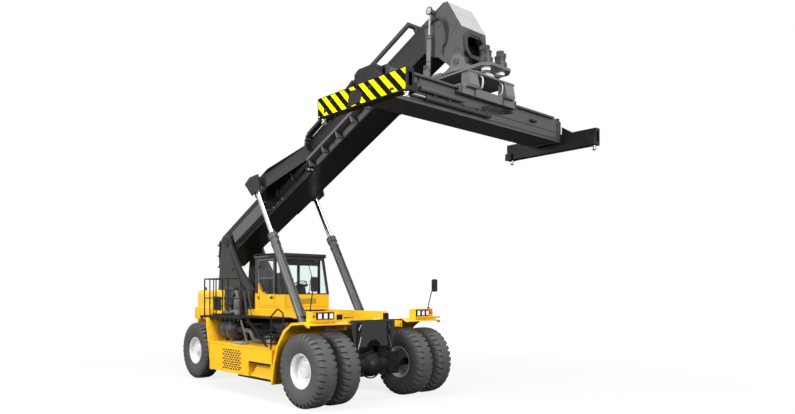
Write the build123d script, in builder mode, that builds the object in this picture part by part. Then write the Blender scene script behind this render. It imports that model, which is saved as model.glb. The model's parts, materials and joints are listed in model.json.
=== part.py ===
"""Reach stacker: a container handler with a telescopic boom, a slewing spreader and six wheels.

Millimetres, +X forward, +Y left, +Z up. The origin is on the ground under the middle of the overall box.
"""
import os
from math import cos, pi, radians, sin

from build123d import *

os.makedirs("parts", exist_ok=True)

# ---- running gear ----
WHEELBASE = 6400
TYRE_R = 845
TYRE_W = 500
RIM_R = 400
DUAL_IN_Y = 1170            # middle of the inner tyre of each drive pair
DUAL_OUT_Y = 1840           # middle of the outer tyre of each drive pair
STEER_Y = 1290              # middle of each steered tyre
KINGPIN_Y = 900
AXLE_R = 190
HUB_R = 230
LUGS = 34                   # lugs round each tyre
LUG_SPAN = 0.36             # half of a lug's width, as a share of the pitch
GROOVE = 48                 # depth between the lugs
SHOULDER = 75               # width of each sloping shoulder
SHOULDER_SCALE = 0.9
BORE_SIDES = 24
DRIVE_SHAFT_R = 90
STEER_SHAFT_R = 70
SADDLE_Z = TYRE_R + AXLE_R  # where the drive axle meets the frame

# ---- boom ----
BOOM_ANGLE = 25             # elevation as it stands
PIVOT_BACK = 6200           # boom pivot behind the drive axle
PIVOT_Z = 4200
BOOM_W = 820
BOOM_H = 800
BOOM_WALL = 20
BOOM_DROP = 418             # boom floor below the pivot, square to the boom
BOOM_TAIL = 850
BOOM_FRONT = 7600           # mouth of the outer boom, from the pivot
INNER_W = 700
INNER_H = 610
INNER_REAR = 1100
INNER_TIP = 10040
PIVOT_R = 110
HEAD_U = 9839               # head pin along the boom from the pivot
HEAD_DROP = 1157            # head pin below the pivot line, square to the boom
HEAD_PIN_R = 60

# ---- lift cylinders ----
LIFT_Y = 980
LIFT_BASE_BACK = 1060
LIFT_BASE_Z = 1300
LIFT_EYE_BACK = 3650
LIFT_EYE_Z = 5450
LIFT_BARREL_R = 120
LIFT_BARREL_L = 3385
LIFT_ROD_R = 72
LIFT_EYE_R = 135
LIFT_EYE_W = 160
LIFT_PIN_R = 60
FIT = 0.3                   # radial play of pins and rods

# ---- spreader ----
SPREAD_HALF = 3020          # half of the 20 ft length
END_HALF = 1219             # half of the end beam
END_T = 180
END_H = 370
BEAM_HALF = SPREAD_HALF - 320
BEAM_W = 720
BEAM_H = 520
ARM_W = 300
ARM_H = 420
RING_R = 500
LOCK_X = END_HALF - 89.5    # half of the twistlock spacing across the container
LOCK_Y = SPREAD_HALF - 93.5 # half of the twistlock spacing along the container

# ---- chassis ----
REAR_OVERHANG = 1300
FRAME_HALF = 560
FRAME_PLATE = 40
FRAME_TOP = 1860
DECK_Z = 1920
SIDE_Y = 2050
RAIL_IN = 660               # the two beams that carry the cab
RAIL_OUT = 840
FENDER_Y = 2090
SKIN = 12
CLEAR = 20                  # running clearance

# ---- cab ----
CAB_REAR_BACK = 4150
CAB_FRONT_BACK = 2640
CAB_HALF = 750
CAB_FLOOR_Z = 2130
CAB_WAIST_Z = 2560
CAB_TOP_Z = 3690
CAB_WALL = 40
DOOR_REAR_BACK = 3980
DOOR_FRONT_BACK = 3130

B = radians(BOOM_ANGLE)
HEAD_FROM_AXLE = -PIVOT_BACK + HEAD_U * cos(B) + HEAD_DROP * sin(B)
HEAD_Z = PIVOT_Z + HEAD_U * sin(B) - HEAD_DROP * cos(B)
# the overall box runs from the counterweight to the spreader, and its middle is x = 0
DRIVE_X = (WHEELBASE + REAR_OVERHANG - HEAD_FROM_AXLE - END_HALF) / 2
STEER_X = DRIVE_X - WHEELBASE
REAR_X = STEER_X - REAR_OVERHANG
PIVOT_X = DRIVE_X - PIVOT_BACK
HEAD_X = DRIVE_X + HEAD_FROM_AXLE
LIFT_BASE = (DRIVE_X - LIFT_BASE_BACK, LIFT_BASE_Z)
LIFT_EYE = (DRIVE_X - LIFT_EYE_BACK, LIFT_EYE_Z)
FLOOR_W = -BOOM_DROP
TOP_W = BOOM_H - BOOM_DROP
INNER_LOW_W = FLOOR_W + (BOOM_H - INNER_H) / 2 - 15
INNER_TOP_W = INNER_LOW_W + INNER_H


def block(x, y, z, mode=Mode.ADD):
    """A box between (low, high) pairs."""
    with Locations(((x[0] + x[1]) / 2, (y[0] + y[1]) / 2, (z[0] + z[1]) / 2)):
        Box(abs(x[1] - x[0]), abs(y[1] - y[0]), abs(z[1] - z[0]), mode=mode)


def outline(plane, points, depth, mode=Mode.ADD):
    """A closed outline on a plane, pushed along the plane's normal."""
    with BuildSketch(plane) as face:
        with BuildLine():
            Polyline(*points, close=True)
        make_face()
    extrude(face.sketch, amount=depth, mode=mode)


def side_plate(points, y, mode=Mode.ADD):
    """An outline of (x, z) points between y[0] and y[1]."""
    low, high = min(y), max(y)
    outline(Plane(origin=(0, high, 0), x_dir=(1, 0, 0), z_dir=(0, -1, 0)), points, high - low, mode)


def boom_plate(points, y, mode=Mode.ADD):
    """An outline of (along, above) points in the boom's own frame, between y[0] and y[1]."""
    low, high = min(y), max(y)
    plane = Plane(origin=(PIVOT_X, high, PIVOT_Z), x_dir=(cos(B), 0, sin(B)), z_dir=(0, -1, 0))
    outline(plane, points, high - low, mode)


def boom_block(u, y, w, mode=Mode.ADD):
    """A box in the boom's own frame."""
    boom_plate([(u[0], w[0]), (u[1], w[0]), (u[1], w[1]), (u[0], w[1])], y, mode)


def boom_point(u, w):
    """The (x, z) of a point given in the boom's own frame."""
    return (PIVOT_X + u * cos(B) - w * sin(B), PIVOT_Z + u * sin(B) + w * cos(B))


def plan_plate(points, z, mode=Mode.ADD):
    """An outline of (x, y) points between z[0] and z[1]."""
    outline(Plane.XY.offset(z[0]), points, z[1] - z[0], mode)


def bar(start, end, radius, mode=Mode.ADD):
    """A round bar from one point to another."""
    run = Vector(*end) - Vector(*start)
    with BuildSketch(Plane(origin=start, z_dir=run)) as face:
        Circle(radius)
    extrude(face.sketch, amount=run.length, mode=mode)


def pin(x, z, y, radius, mode=Mode.ADD):
    """A round bar across the machine between y[0] and y[1]."""
    bar((x, min(y), z), (x, max(y), z), radius, mode)


def save(piece, name):
    piece.part.label = name
    export_step(piece.part, f"parts/{name}.step")


def sides(low, high):
    """The same (low, high) stretch of y on the right and on the left."""
    return ((-high, -low), (low, high))


# =====================================================================  chassis
NECK_HALF = 340             # the frame between the steered tyres
NECK_FRONT = STEER_X + 1250
NECK_REAR = STEER_X - 1110
NECK_LOW = 1150
CW_LOW = 1790               # underside of the counterweight

with BuildPart() as chassis_frame:
    for y in sides(FRAME_HALF - FRAME_PLATE, FRAME_HALF):
        side_plate([(DRIVE_X + 100, 1250), (DRIVE_X + 100, FRAME_TOP), (NECK_FRONT, FRAME_TOP),
                    (NECK_FRONT, 800), (DRIVE_X - 1400, 700), (DRIVE_X - 500, 1250)], y)
    block((NECK_FRONT - FRAME_PLATE, NECK_FRONT), (-FRAME_HALF, FRAME_HALF), (NECK_LOW - 250, FRAME_TOP))
    block((NECK_FRONT + 260, NECK_FRONT + 300), (-FRAME_HALF, FRAME_HALF), (900, FRAME_TOP))
    for back in (3300, 1500):
        block((DRIVE_X - back - 20, DRIVE_X - back + 20), (-FRAME_HALF, FRAME_HALF), (760, FRAME_TOP))
    # front end plate with its arch over the axle nose
    with BuildSketch(Plane(origin=(DRIVE_X + 160, 0, 0), x_dir=(0, 1, 0), z_dir=(1, 0, 0))):
        with BuildLine():
            Polyline((-690, 1950), (690, 1950), (690, 1700), (600, 1300), (-600, 1300),
                     (-690, 1700), close=True)
        make_face()
        with Locations((0, 1240)):
            Circle(230, mode=Mode.SUBTRACT)
    extrude(amount=-60)
    # saddles that carry the drive axle
    for y in sides(FRAME_HALF - 110, FRAME_HALF + 110):
        block((DRIVE_X - 190, DRIVE_X + 80), y, (SADDLE_Z, 1320))
    # cross tube and clevis plates for the lift cylinder feet
    pin(LIFT_BASE[0] - 80, LIFT_BASE[1] - 210, (-LIFT_Y - 130, LIFT_Y + 130), 95)
    for side in (-1, 1):
        for inset in (-145, 145):
            y = side * LIFT_Y + inset
            side_plate([(LIFT_BASE[0] - 210, 960), (LIFT_BASE[0] + 110, 960), (LIFT_BASE[0] + 110, 1370),
                        (LIFT_BASE[0] + 40, 1430), (LIFT_BASE[0] - 60, 1430), (LIFT_BASE[0] - 210, 1300)],
                       (y - 15, y + 15))
        pin(*LIFT_BASE, (side * LIFT_Y - 175, side * LIFT_Y + 175), LIFT_PIN_R)
save(chassis_frame, "chassis_frame")

# two plates that carry the steered axle and the counterweight, between the steered tyres
with BuildPart() as frame_neck:
    for y in sides(NECK_HALF - FRAME_PLATE, NECK_HALF):
        side_plate([(NECK_FRONT - FRAME_PLATE, NECK_LOW), (NECK_FRONT - FRAME_PLATE, FRAME_TOP),
                    (STEER_X - 740, FRAME_TOP), (STEER_X - 740, CW_LOW), (NECK_REAR, CW_LOW),
                    (NECK_REAR, NECK_LOW)], y)
save(frame_neck, "frame_neck")

# a plain mass: engine and gearbox in one block between the frame plates
with BuildPart() as engine_block:
    block((DRIVE_X - 3260, DRIVE_X - 1560), (-FRAME_HALF + FRAME_PLATE, FRAME_HALF - FRAME_PLATE),
          (900, FRAME_TOP - 60))
save(engine_block, "engine_block")

TOWER_IN = BOOM_W / 2 + 70
TOWER_T = 90
TOWER_OUT = TOWER_IN + TOWER_T
with BuildPart() as boom_tower:
    for y in sides(TOWER_IN, TOWER_IN + TOWER_T):
        side_plate([(DRIVE_X - 4500, FRAME_TOP), (DRIVE_X - 4530, 2090), (DRIVE_X - 4610, 2680),
                    (DRIVE_X - 4890, 2950), (DRIVE_X - 5280, 3280), (DRIVE_X - 5620, 3670),
                    (DRIVE_X - 5920, 4130), (PIVOT_X + 150, 4330), (PIVOT_X - 150, 4330),
                    (PIVOT_X - 300, 4150), (PIVOT_X - 420, 3400), (PIVOT_X - 600, FRAME_TOP)], y)
    block((DRIVE_X - 6700, DRIVE_X - 6620), (-TOWER_IN, TOWER_IN), (FRAME_TOP, 2900))
    block((DRIVE_X - 5000, DRIVE_X - 4940), (-TOWER_IN, TOWER_IN), (FRAME_TOP, 2700))
    for y in sides(BOOM_W / 2 + CLEAR / 2, TOWER_IN + TOWER_T + 40):
        pin(PIVOT_X, PIVOT_Z, y, 190)
    pin(PIVOT_X, PIVOT_Z, (-TOWER_IN - 300, TOWER_IN + 300), PIVOT_R + FIT, mode=Mode.SUBTRACT)
save(boom_tower, "boom_tower")

# counterweight: a slab with rounded rear corners and two arms beside the tower
CW_HALF = 1250
CW_CORNER = 1000
CW_SET = 60                 # the rear block stands in from the rounded slab
CW_FOOT = 700
CW_BLOCK = NECK_HALF + 500
TOW_HALF = 150
TOW_DEEP = 260
TOW_FLOOR = 940
TOW_TOP = 1060
TOW_PIN_IN = 115
TOW_PIN_R = 26
ARM_IN = TOWER_IN + TOWER_T + 60
with BuildPart() as counterweight:
    for half, corner, z in ((CW_HALF, CW_CORNER, (CW_LOW, 2150)), (CW_HALF - 90, CW_CORNER - 90, (2150, 2680))):
        with BuildSketch(Plane.XY.offset(z[0])):
            with Locations((REAR_X + 1400 + (CW_HALF - half) / 2, 0)):
                RectangleRounded(2800 - (CW_HALF - half), 2 * half, corner - 1)
        extrude(amount=z[1] - z[0])
    block((STEER_X + 400, STEER_X + 2000), (-CW_HALF, CW_HALF), (CW_LOW, 2700), mode=Mode.SUBTRACT)
    block((STEER_X - 760, STEER_X + 400), (-ARM_IN, ARM_IN), (CW_LOW, 2700), mode=Mode.SUBTRACT)
    top = counterweight.faces().sort_by(Axis.Z)[-1]
    fillet(top.edges().filter_by(GeomType.LINE, reverse=True), 150)
save(counterweight, "counterweight")

# block under the slab, behind the steered wheels, with the notch and the upper bore for the tow pin
with BuildPart() as tow_block:
    block((REAR_X + CW_SET, NECK_REAR), (-CW_BLOCK, CW_BLOCK), (CW_FOOT, CW_LOW))
    block((REAR_X + 300, STEER_X - 780), (-NECK_HALF + FRAME_PLATE, NECK_HALF - FRAME_PLATE),
          (NECK_LOW + 150, CW_LOW))
    block((REAR_X, REAR_X + TOW_DEEP), (-TOW_HALF, TOW_HALF), (CW_FOOT, TOW_TOP), mode=Mode.SUBTRACT)
    bar((REAR_X + TOW_PIN_IN, 0, TOW_TOP - 10), (REAR_X + TOW_PIN_IN, 0, TOW_TOP + 140), TOW_PIN_R,
        mode=Mode.SUBTRACT)
save(tow_block, "tow_block")

with BuildPart() as tow_jaw:
    block((REAR_X + CW_SET, REAR_X + TOW_DEEP), (-TOW_HALF, TOW_HALF), (CW_FOOT, TOW_FLOOR))
    bar((REAR_X + TOW_PIN_IN, 0, CW_FOOT - 10), (REAR_X + TOW_PIN_IN, 0, TOW_FLOOR + 10), TOW_PIN_R,
        mode=Mode.SUBTRACT)
save(tow_jaw, "tow_jaw")

with BuildPart() as engine_hood:
    for y in sides(TOWER_OUT + 50, 1150):
        side_plate([(DRIVE_X - 6000, DECK_Z + 40), (DRIVE_X - 5280, DECK_Z + 40), (DRIVE_X - 5280, 2400),
                    (DRIVE_X - 5400, 2600), (DRIVE_X - 5560, 2670), (DRIVE_X - 6000, 2670)], y)
save(engine_hood, "engine_hood")

# front fenders: an arched sheet with a lip on its outer edge
ARCH = [(-1180, 420), (-1090, 900), (-930, 1340), (-630, 1740), (-290, 1920), (200, 1960), (330, 1890),
        (410, 1890)]
with BuildPart() as front_fenders:
    for side in (-1, 1):
        outer = [(DRIVE_X + x, z) for x, z in ARCH]
        inner = [(DRIVE_X + x + (30 if z < 1800 else 0), z - (SKIN if z > 1700 else 0)) for x, z in ARCH]
        lip = [(DRIVE_X + x + (70 if z < 1800 else 0), z - (60 if z > 1700 else 0)) for x, z in ARCH]
        side_plate(outer + inner[::-1], (side * 900, side * FENDER_Y))
        side_plate(outer + lip[::-1], (side * (FENDER_Y - SKIN), side * FENDER_Y))
    for y in sides(880, 1155):
        block((DRIVE_X - 1300, DRIVE_X), y, (300, 1520), mode=Mode.SUBTRACT)
    for y in sides(900, 912):
        block((DRIVE_X - 480, DRIVE_X + 200), y, (1740, 1910))
    for y in sides(FRAME_HALF, 900):
        block((DRIVE_X - 300, DRIVE_X - 240), y, (1740, FRAME_TOP))
save(front_fenders, "front_fenders")

# side boxes between the axles, with rows of slots in the right one
BOX_REAR = DRIVE_X - 4350
BOX_FRONT = DRIVE_X - 1190
STEP_X = (DRIVE_X - 2270, DRIVE_X - 1240)
BOX_TOP = 1280
with BuildPart() as side_boxes:
    for side in (-1, 1):
        side_plate([(BOX_REAR, 520), (BOX_FRONT, 520), (BOX_FRONT, BOX_TOP - 40), (DRIVE_X - 3700, BOX_TOP),
                    (BOX_REAR, BOX_TOP)],
                   (side * 1200, side * SIDE_Y))
        # recess under the step, leaning out towards the bottom
        with BuildSketch(Plane(origin=(STEP_X[0], 0, 0), x_dir=(0, 1, 0), z_dir=(1, 0, 0))):
            with BuildLine():
                Polyline((side * (SIDE_Y + 10), 900), (side * (SIDE_Y - 320), 900), (side * (SIDE_Y - 60), 510),
                         (side * (SIDE_Y + 10), 510), close=True)
            make_face()
        extrude(amount=STEP_X[1] - STEP_X[0], mode=Mode.SUBTRACT)
    for y in sides(FRAME_HALF, 1200):
        for back in (4200, 2500):
            block((DRIVE_X - back - 40, DRIVE_X - back + 40), y, (900, 1050))
    # staggered slots in the right box
    with BuildSketch(Plane(origin=(DRIVE_X - 3120, -SIDE_Y, 870), x_dir=(1, 0, 0), z_dir=(0, -1, 0))) as slots:
        for row in range(-4, 5):
            shift = 33 if row % 2 else -33
            with Locations(*((column * 132 + shift, row * 60) for column in range(-3, 4))):
                Polygon((-38, 0), (-26, -13), (26, -13), (38, 0), (26, 13), (-26, 13))
    extrude(slots.sketch, amount=-15, mode=Mode.SUBTRACT)
save(side_boxes, "side_boxes")

# boarding steps ahead of each side box and the sill under them
with BuildPart() as boarding_steps:
    for side in (-1, 1):
        plan_plate([(STEP_X[0], side * (SIDE_Y - 20)), (STEP_X[0] + 120, side * (SIDE_Y + 30)),
                    (STEP_X[1] - 20, side * (SIDE_Y + 30)), (STEP_X[1], side * (SIDE_Y - 20)),
                    (STEP_X[1], side * (SIDE_Y - 299)), (STEP_X[0], side * (SIDE_Y - 299))], (870, 900))
        block((STEP_X[0] - 500, STEP_X[1]), (side * (SIDE_Y - 160), side * (SIDE_Y + 10)), (480, 520))
        # flight of steps from the box up to the deck
        for y in (1150, 1720):
            side_plate([(DRIVE_X - 1950, BOX_TOP - 27.5), (DRIVE_X - 1850, BOX_TOP - 29),
                        (DRIVE_X - 2850, DECK_Z),
                        (DRIVE_X - 2950, DECK_Z)], (side * y, side * (y + 30)))
        for back, z in ((2250, 1420), (2510, 1590), (2770, 1760)):
            block((DRIVE_X - back - 110, DRIVE_X - back + 110), (side * 1160, side * 1740), (z, z + 30))
save(boarding_steps, "boarding_steps")

# sloping guards ahead of the steered wheels
with BuildPart() as wheel_guards:
    for y in sides(FRAME_HALF, FRAME_HALF + 60):
        block((DRIVE_X - 4600, DRIVE_X - 4500), y, (1300, 1500))
    for y in sides(FRAME_HALF + 10, 2000):
        side_plate([(DRIVE_X - 4710, DECK_Z - 10), (DRIVE_X - 4670, DECK_Z - 10),
                    (DRIVE_X - 4360, 480), (DRIVE_X - 4400, 480)], y)
save(wheel_guards, "wheel_guards")

with BuildPart() as walkways:
    for side in (-1, 1):
        block((DRIVE_X - 5260, DRIVE_X - 2950), (side * RAIL_OUT, side * 1900), (DECK_Z, DECK_Z + 40))
        block((DRIVE_X - 2950, DRIVE_X - 2100), (side * RAIL_OUT, side * 1400), (DECK_Z, DECK_Z + 40))
        for back, inner, outer in ((4830, TOWER_OUT, 1890), (3300, FRAME_HALF, 1890), (2300, FRAME_HALF, 1380)):
            block((DRIVE_X - back - 30, DRIVE_X - back + 30), (side * inner, side * outer),
                  (DECK_Z - 90, DECK_Z))
save(walkways, "walkways")

RAIL_TOP = 3010
POST_R = 20
TUBE_R = 17
with BuildPart() as handrails:
    for back in (5120, 4430, 3745, 3060):
        bar((DRIVE_X - back, -1820, DECK_Z + 40), (DRIVE_X - back, -1820, RAIL_TOP), POST_R)
    for z in (RAIL_TOP - 30, 2450):
        bar((DRIVE_X - 5120, -1820, z), (DRIVE_X - 3060, -1820, z), TUBE_R)
        bar((DRIVE_X - 5120, -1820, z), (DRIVE_X - 5120, -1260, z), TUBE_R)
    bar((DRIVE_X - 5120, -1260, DECK_Z + 40), (DRIVE_X - 5120, -1260, RAIL_TOP), POST_R)
    # grab rail over the boarding step
    for back, z in ((1330, BOX_TOP - 37), (790, 1554)):
        bar((DRIVE_X - back, -1980, z), (DRIVE_X - back, -1980, 2250), POST_R)
    bar((DRIVE_X - 1330, -1980, 2220), (DRIVE_X - 790, -1980, 2220), TUBE_R)
save(handrails, "handrails")

with BuildPart() as air_cleaner:
    bar((DRIVE_X - 4440, -1500, 1595), (DRIVE_X - 3680, -1500, 1595), 290)
    bar((DRIVE_X - 3680, -1500, 1595), (DRIVE_X - 3420, -1500, 1595), 90)
    for back in (4200, 3850):
        block((DRIVE_X - back - 40, DRIVE_X - back + 40), (-1640, -1360), (BOX_TOP, 1400))
save(air_cleaner, "air_cleaner")

with BuildPart() as filter_cans:
    bar((DRIVE_X - 5060, -1010, DECK_Z + 40), (DRIVE_X - 5060, -1010, 2200), 110)
    bar((DRIVE_X - 5060, -1010, 2200), (DRIVE_X - 5060, -1010, 2770), 195)
    bar((DRIVE_X - 4700, -1010, DECK_Z + 40), (DRIVE_X - 4700, -1010, 2500), 120)
save(filter_cans, "filter_cans")

with BuildPart() as fluid_tanks:
    for y in sides(FRAME_HALF, 1140):
        block((DRIVE_X - 3900, DRIVE_X - 1900), y, (1300, FRAME_TOP - 40))
save(fluid_tanks, "fluid_tanks")

with BuildPart() as cab_rails:
    for y in sides(RAIL_IN, RAIL_OUT - 10):
        block((DRIVE_X - 4420, DRIVE_X - 260), y, (DECK_Z + 10, CAB_FLOOR_Z))
    for back in (3900, 2900, 1900, 700):
        block((DRIVE_X - back - 30, DRIVE_X - back + 30), (-RAIL_IN - 20, RAIL_IN + 20),
              (FRAME_TOP, DECK_Z + 40))
save(cab_rails, "cab_rails")

# =====================================================================  cab
CAB_REAR = DRIVE_X - CAB_REAR_BACK
CAB_FRONT = DRIVE_X - CAB_FRONT_BACK
CAB_LEAN = 240              # how far the windscreen leans back at the roof
CAB_SHAPE = [(CAB_REAR, CAB_FLOOR_Z), (CAB_FRONT, CAB_FLOOR_Z), (CAB_FRONT, CAB_WAIST_Z),
             (CAB_FRONT - CAB_LEAN, CAB_TOP_Z - 60), (CAB_REAR, CAB_TOP_Z - 60)]
ROOM_SHAPE = [(CAB_REAR + CAB_WALL, CAB_FLOOR_Z + CAB_WALL), (CAB_FRONT - CAB_WALL, CAB_FLOOR_Z + CAB_WALL),
              (CAB_FRONT - CAB_WALL, CAB_WAIST_Z), (CAB_FRONT - CAB_LEAN - CAB_WALL, CAB_TOP_Z - 110),
              (CAB_REAR + CAB_WALL, CAB_TOP_Z - 110)]
POST = 70
SILL_Z = CAB_WAIST_Z + 20
LINTEL_Z = CAB_TOP_Z - 170
DOOR_X = (DRIVE_X - DOOR_REAR_BACK, DRIVE_X - DOOR_FRONT_BACK)
DOOR_Z = (CAB_FLOOR_Z + 60, LINTEL_Z + 30)
DOOR_GAP = 8
with BuildPart() as cab_shell:
    side_plate(CAB_SHAPE, (-CAB_HALF, CAB_HALF))
    side_plate(ROOM_SHAPE, (-CAB_HALF + CAB_WALL, CAB_HALF - CAB_WALL), Mode.SUBTRACT)
    # roof cap
    block((CAB_REAR - 30, CAB_FRONT - CAB_LEAN + 60), (-CAB_HALF - 30, CAB_HALF + 30),
          (CAB_TOP_Z - 60, CAB_TOP_Z))
    # windscreen and rear window
    block((CAB_FRONT - CAB_LEAN - 200, CAB_FRONT + 10), (-CAB_HALF + POST, CAB_HALF - POST), (SILL_Z, LINTEL_Z),
          mode=Mode.SUBTRACT)
    block((CAB_REAR - 40, CAB_REAR + 100), (-CAB_HALF + POST, CAB_HALF - POST), (SILL_Z, LINTEL_Z),
          mode=Mode.SUBTRACT)
    # side windows ahead of the door post, on both sides
    side_window = [(DOOR_X[1] + POST, SILL_Z), (CAB_FRONT - POST, SILL_Z),
                   (CAB_FRONT - CAB_LEAN - POST + 30, LINTEL_Z), (DOOR_X[1] + POST, LINTEL_Z)]
    side_plate(side_window, (-CAB_HALF - 10, CAB_HALF + 10), Mode.SUBTRACT)
    # left rear quarter window, and the doorway on the right
    block((CAB_REAR + POST, DOOR_X[1] - 20), (CAB_HALF - 100, CAB_HALF + 10), (SILL_Z, LINTEL_Z),
          mode=Mode.SUBTRACT)
    block((DOOR_X[0] - DOOR_GAP, DOOR_X[1] + DOOR_GAP), (-CAB_HALF - 10, -CAB_HALF + 100),
          (DOOR_Z[0] - DOOR_GAP, DOOR_Z[1] + DOOR_GAP), mode=Mode.SUBTRACT)
save(cab_shell, "cab_shell")

GLASS = 8
with BuildPart() as cab_glass:
    side_plate([(CAB_FRONT - 20, SILL_Z), (CAB_FRONT - 20 + GLASS, SILL_Z),
                (CAB_FRONT - CAB_LEAN + 10 + GLASS, LINTEL_Z), (CAB_FRONT - CAB_LEAN + 10, LINTEL_Z)],
               (-CAB_HALF + POST, CAB_HALF - POST))
    block((CAB_REAR + 16, CAB_REAR + 16 + GLASS), (-CAB_HALF + POST, CAB_HALF - POST), (SILL_Z, LINTEL_Z))
    for y in sides(CAB_HALF - 24, CAB_HALF - 24 + GLASS):
        side_plate(side_window, y)
    block((CAB_REAR + POST, DOOR_X[1] - 20), (CAB_HALF - 24, CAB_HALF - 24 + GLASS), (SILL_Z, LINTEL_Z))
save(cab_glass, "cab_glass")

with BuildPart() as cab_door:
    block(DOOR_X, (-CAB_HALF, -CAB_HALF + CAB_WALL), DOOR_Z)
    side_plate([(DOOR_X[0] + 60, 2860), (DOOR_X[0] + 220, 2640), (DOOR_X[0] + 420, SILL_Z),
                (DOOR_X[1] - 60, SILL_Z),
                (DOOR_X[1] - 60, LINTEL_Z - 20), (DOOR_X[0] + 60, LINTEL_Z - 20)],
               (-CAB_HALF - 10, -CAB_HALF + 60), Mode.SUBTRACT)
    bar((DOOR_X[0] + 110, -CAB_HALF - 35, 2700), (DOOR_X[0] + 110, -CAB_HALF - 35, 2960), 12)
    for z in (2420, 3280):
        bar((DOOR_X[0], -CAB_HALF - 10, z), (DOOR_X[0], -CAB_HALF - 10, z + 90), 12.5)
    for z in (2715, 2945):
        bar((DOOR_X[0] + 110, -CAB_HALF - 35, z), (DOOR_X[0] + 40, -CAB_HALF + 5, z), 8)
save(cab_door, "cab_door")

with BuildPart() as door_glass:
    side_plate([(DOOR_X[0] + 60, 2860), (DOOR_X[0] + 220, 2640), (DOOR_X[0] + 420, SILL_Z),
                (DOOR_X[1] - 60, SILL_Z),
                (DOOR_X[1] - 60, LINTEL_Z - 20), (DOOR_X[0] + 60, LINTEL_Z - 20)],
               (-CAB_HALF + 16, -CAB_HALF + 16 + GLASS))
save(door_glass, "door_glass")

SEAT_X = CAB_REAR + 480
with BuildPart() as cab_seat:
    block((SEAT_X - 120, SEAT_X + 120), (-150, 150), (CAB_FLOOR_Z + CAB_WALL, 2430))
    block((SEAT_X - 260, SEAT_X + 260), (-250, 250), (2430, 2560))
    side_plate([(SEAT_X - 260, 2560), (SEAT_X - 130, 2560), (SEAT_X - 230, 3200), (SEAT_X - 340, 3200)],
               (-240, 240))
    for y in sides(270, 360):
        block((SEAT_X - 180, SEAT_X + 200), y, (2430, 2780))
    block((SEAT_X - 180, SEAT_X + 200), (-300, 300), (2440, 2470))
save(cab_seat, "cab_seat")

with BuildPart() as steering_console:
    side_plate([(CAB_FRONT - 330, CAB_FLOOR_Z + CAB_WALL), (CAB_FRONT - 120, CAB_FLOOR_Z + CAB_WALL),
                (CAB_FRONT - 260, 2800), (CAB_FRONT - 380, 2760)], (-110, 110))
    wheel = Plane(origin=(CAB_FRONT - 350, 0, 2830), z_dir=(-0.45, 0, 0.9))
    with BuildSketch(wheel):
        Circle(210)
        Circle(180, mode=Mode.SUBTRACT)
        Rectangle(380, 40)
    extrude(amount=25)
    with BuildSketch(wheel):
        Circle(45)
    extrude(amount=-60)
save(steering_console, "steering_console")

# =====================================================================  lamps and mirrors
LAMP_X = DRIVE_X + 290
LAMP_Y = (1290, 1930)
with BuildPart() as headlamps:
    for side in (-1, 1):
        side_plate([(DRIVE_X + 60, 1950), (DRIVE_X + 200, 1960), (LAMP_X, 1912), (LAMP_X, 2190),
                    (DRIVE_X + 60, 2190)], (side * LAMP_Y[0], side * LAMP_Y[1]))
        for y in (1340, 1500, 1660):
            block((LAMP_X, LAMP_X + 30), (side * y, side * (y + 125)), (2015, 2150))
save(headlamps, "headlamps")

with BuildPart() as mirrors:
    for side in (-1, 1):
        bar((LAMP_X - 120, side * 1890, 2190), (LAMP_X - 120, side * 1890, 2290), 15)
        bar((LAMP_X - 120, side * 1890, 2280), (LAMP_X - 40, side * 1900, 2560), 13)
        bar((LAMP_X - 40, side * 1900, 2555), (LAMP_X + 40, side * 1900, 2690), 14)
        with BuildSketch(Plane.XY.offset(2630)):
            with Locations((LAMP_X + 60, side * 1920)):
                RectangleRounded(70, 190, 30)
        extrude(amount=330)
save(mirrors, "mirrors")

# =====================================================================  axles and wheels
HUB_FACE = DUAL_IN_Y - TYRE_W / 2 - 60
with BuildPart() as drive_axle:
    pin(DRIVE_X, TYRE_R, (-HUB_FACE, HUB_FACE), AXLE_R)
    pin(DRIVE_X, TYRE_R, (-DUAL_OUT_Y, DUAL_OUT_Y), DRIVE_SHAFT_R)
    with Locations((DRIVE_X, 0, TYRE_R)):
        Sphere(290)
    bar((DRIVE_X, 0, TYRE_R), (DRIVE_X - 620, 0, TYRE_R + 80), 120)
    for y in sides(FRAME_HALF - 110, FRAME_HALF + 110):
        block((DRIVE_X - 190, DRIVE_X + 190), y, (TYRE_R - 200, SADDLE_Z))
save(drive_axle, "drive_axle")

BEAM_END = KINGPIN_Y - 130
LUG_R = 78                  # round the kingpin, inside the sweep of the knuckle's flange
with BuildPart() as steer_axle:
    plan_plate([(STEER_X + x, y) for x, y in (
        (150, -BEAM_END + 160), (150, BEAM_END - 160), (55, BEAM_END), (-55, BEAM_END), (-150, BEAM_END - 160),
        (-150, -BEAM_END + 160), (-55, -BEAM_END), (55, -BEAM_END))], (TYRE_R - 130, TYRE_R + 130))
    for side in (-1, 1):
        for z in (TYRE_R - 175, TYRE_R + 115):
            block((STEER_X - LUG_R, STEER_X + LUG_R), (side * (BEAM_END - 160), side * KINGPIN_Y), (z, z + 60))
            bar((STEER_X, side * KINGPIN_Y, z), (STEER_X, side * KINGPIN_Y, z + 60), LUG_R)
        bar((STEER_X, side * KINGPIN_Y, TYRE_R + 115), (STEER_X, side * KINGPIN_Y, TYRE_R + 220), 55)
    block((STEER_X - 200, STEER_X + 200), (-NECK_HALF + FRAME_PLATE, NECK_HALF - FRAME_PLATE),
          (TYRE_R - 100, NECK_LOW + 120))
save(steer_axle, "steer_axle")

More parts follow.
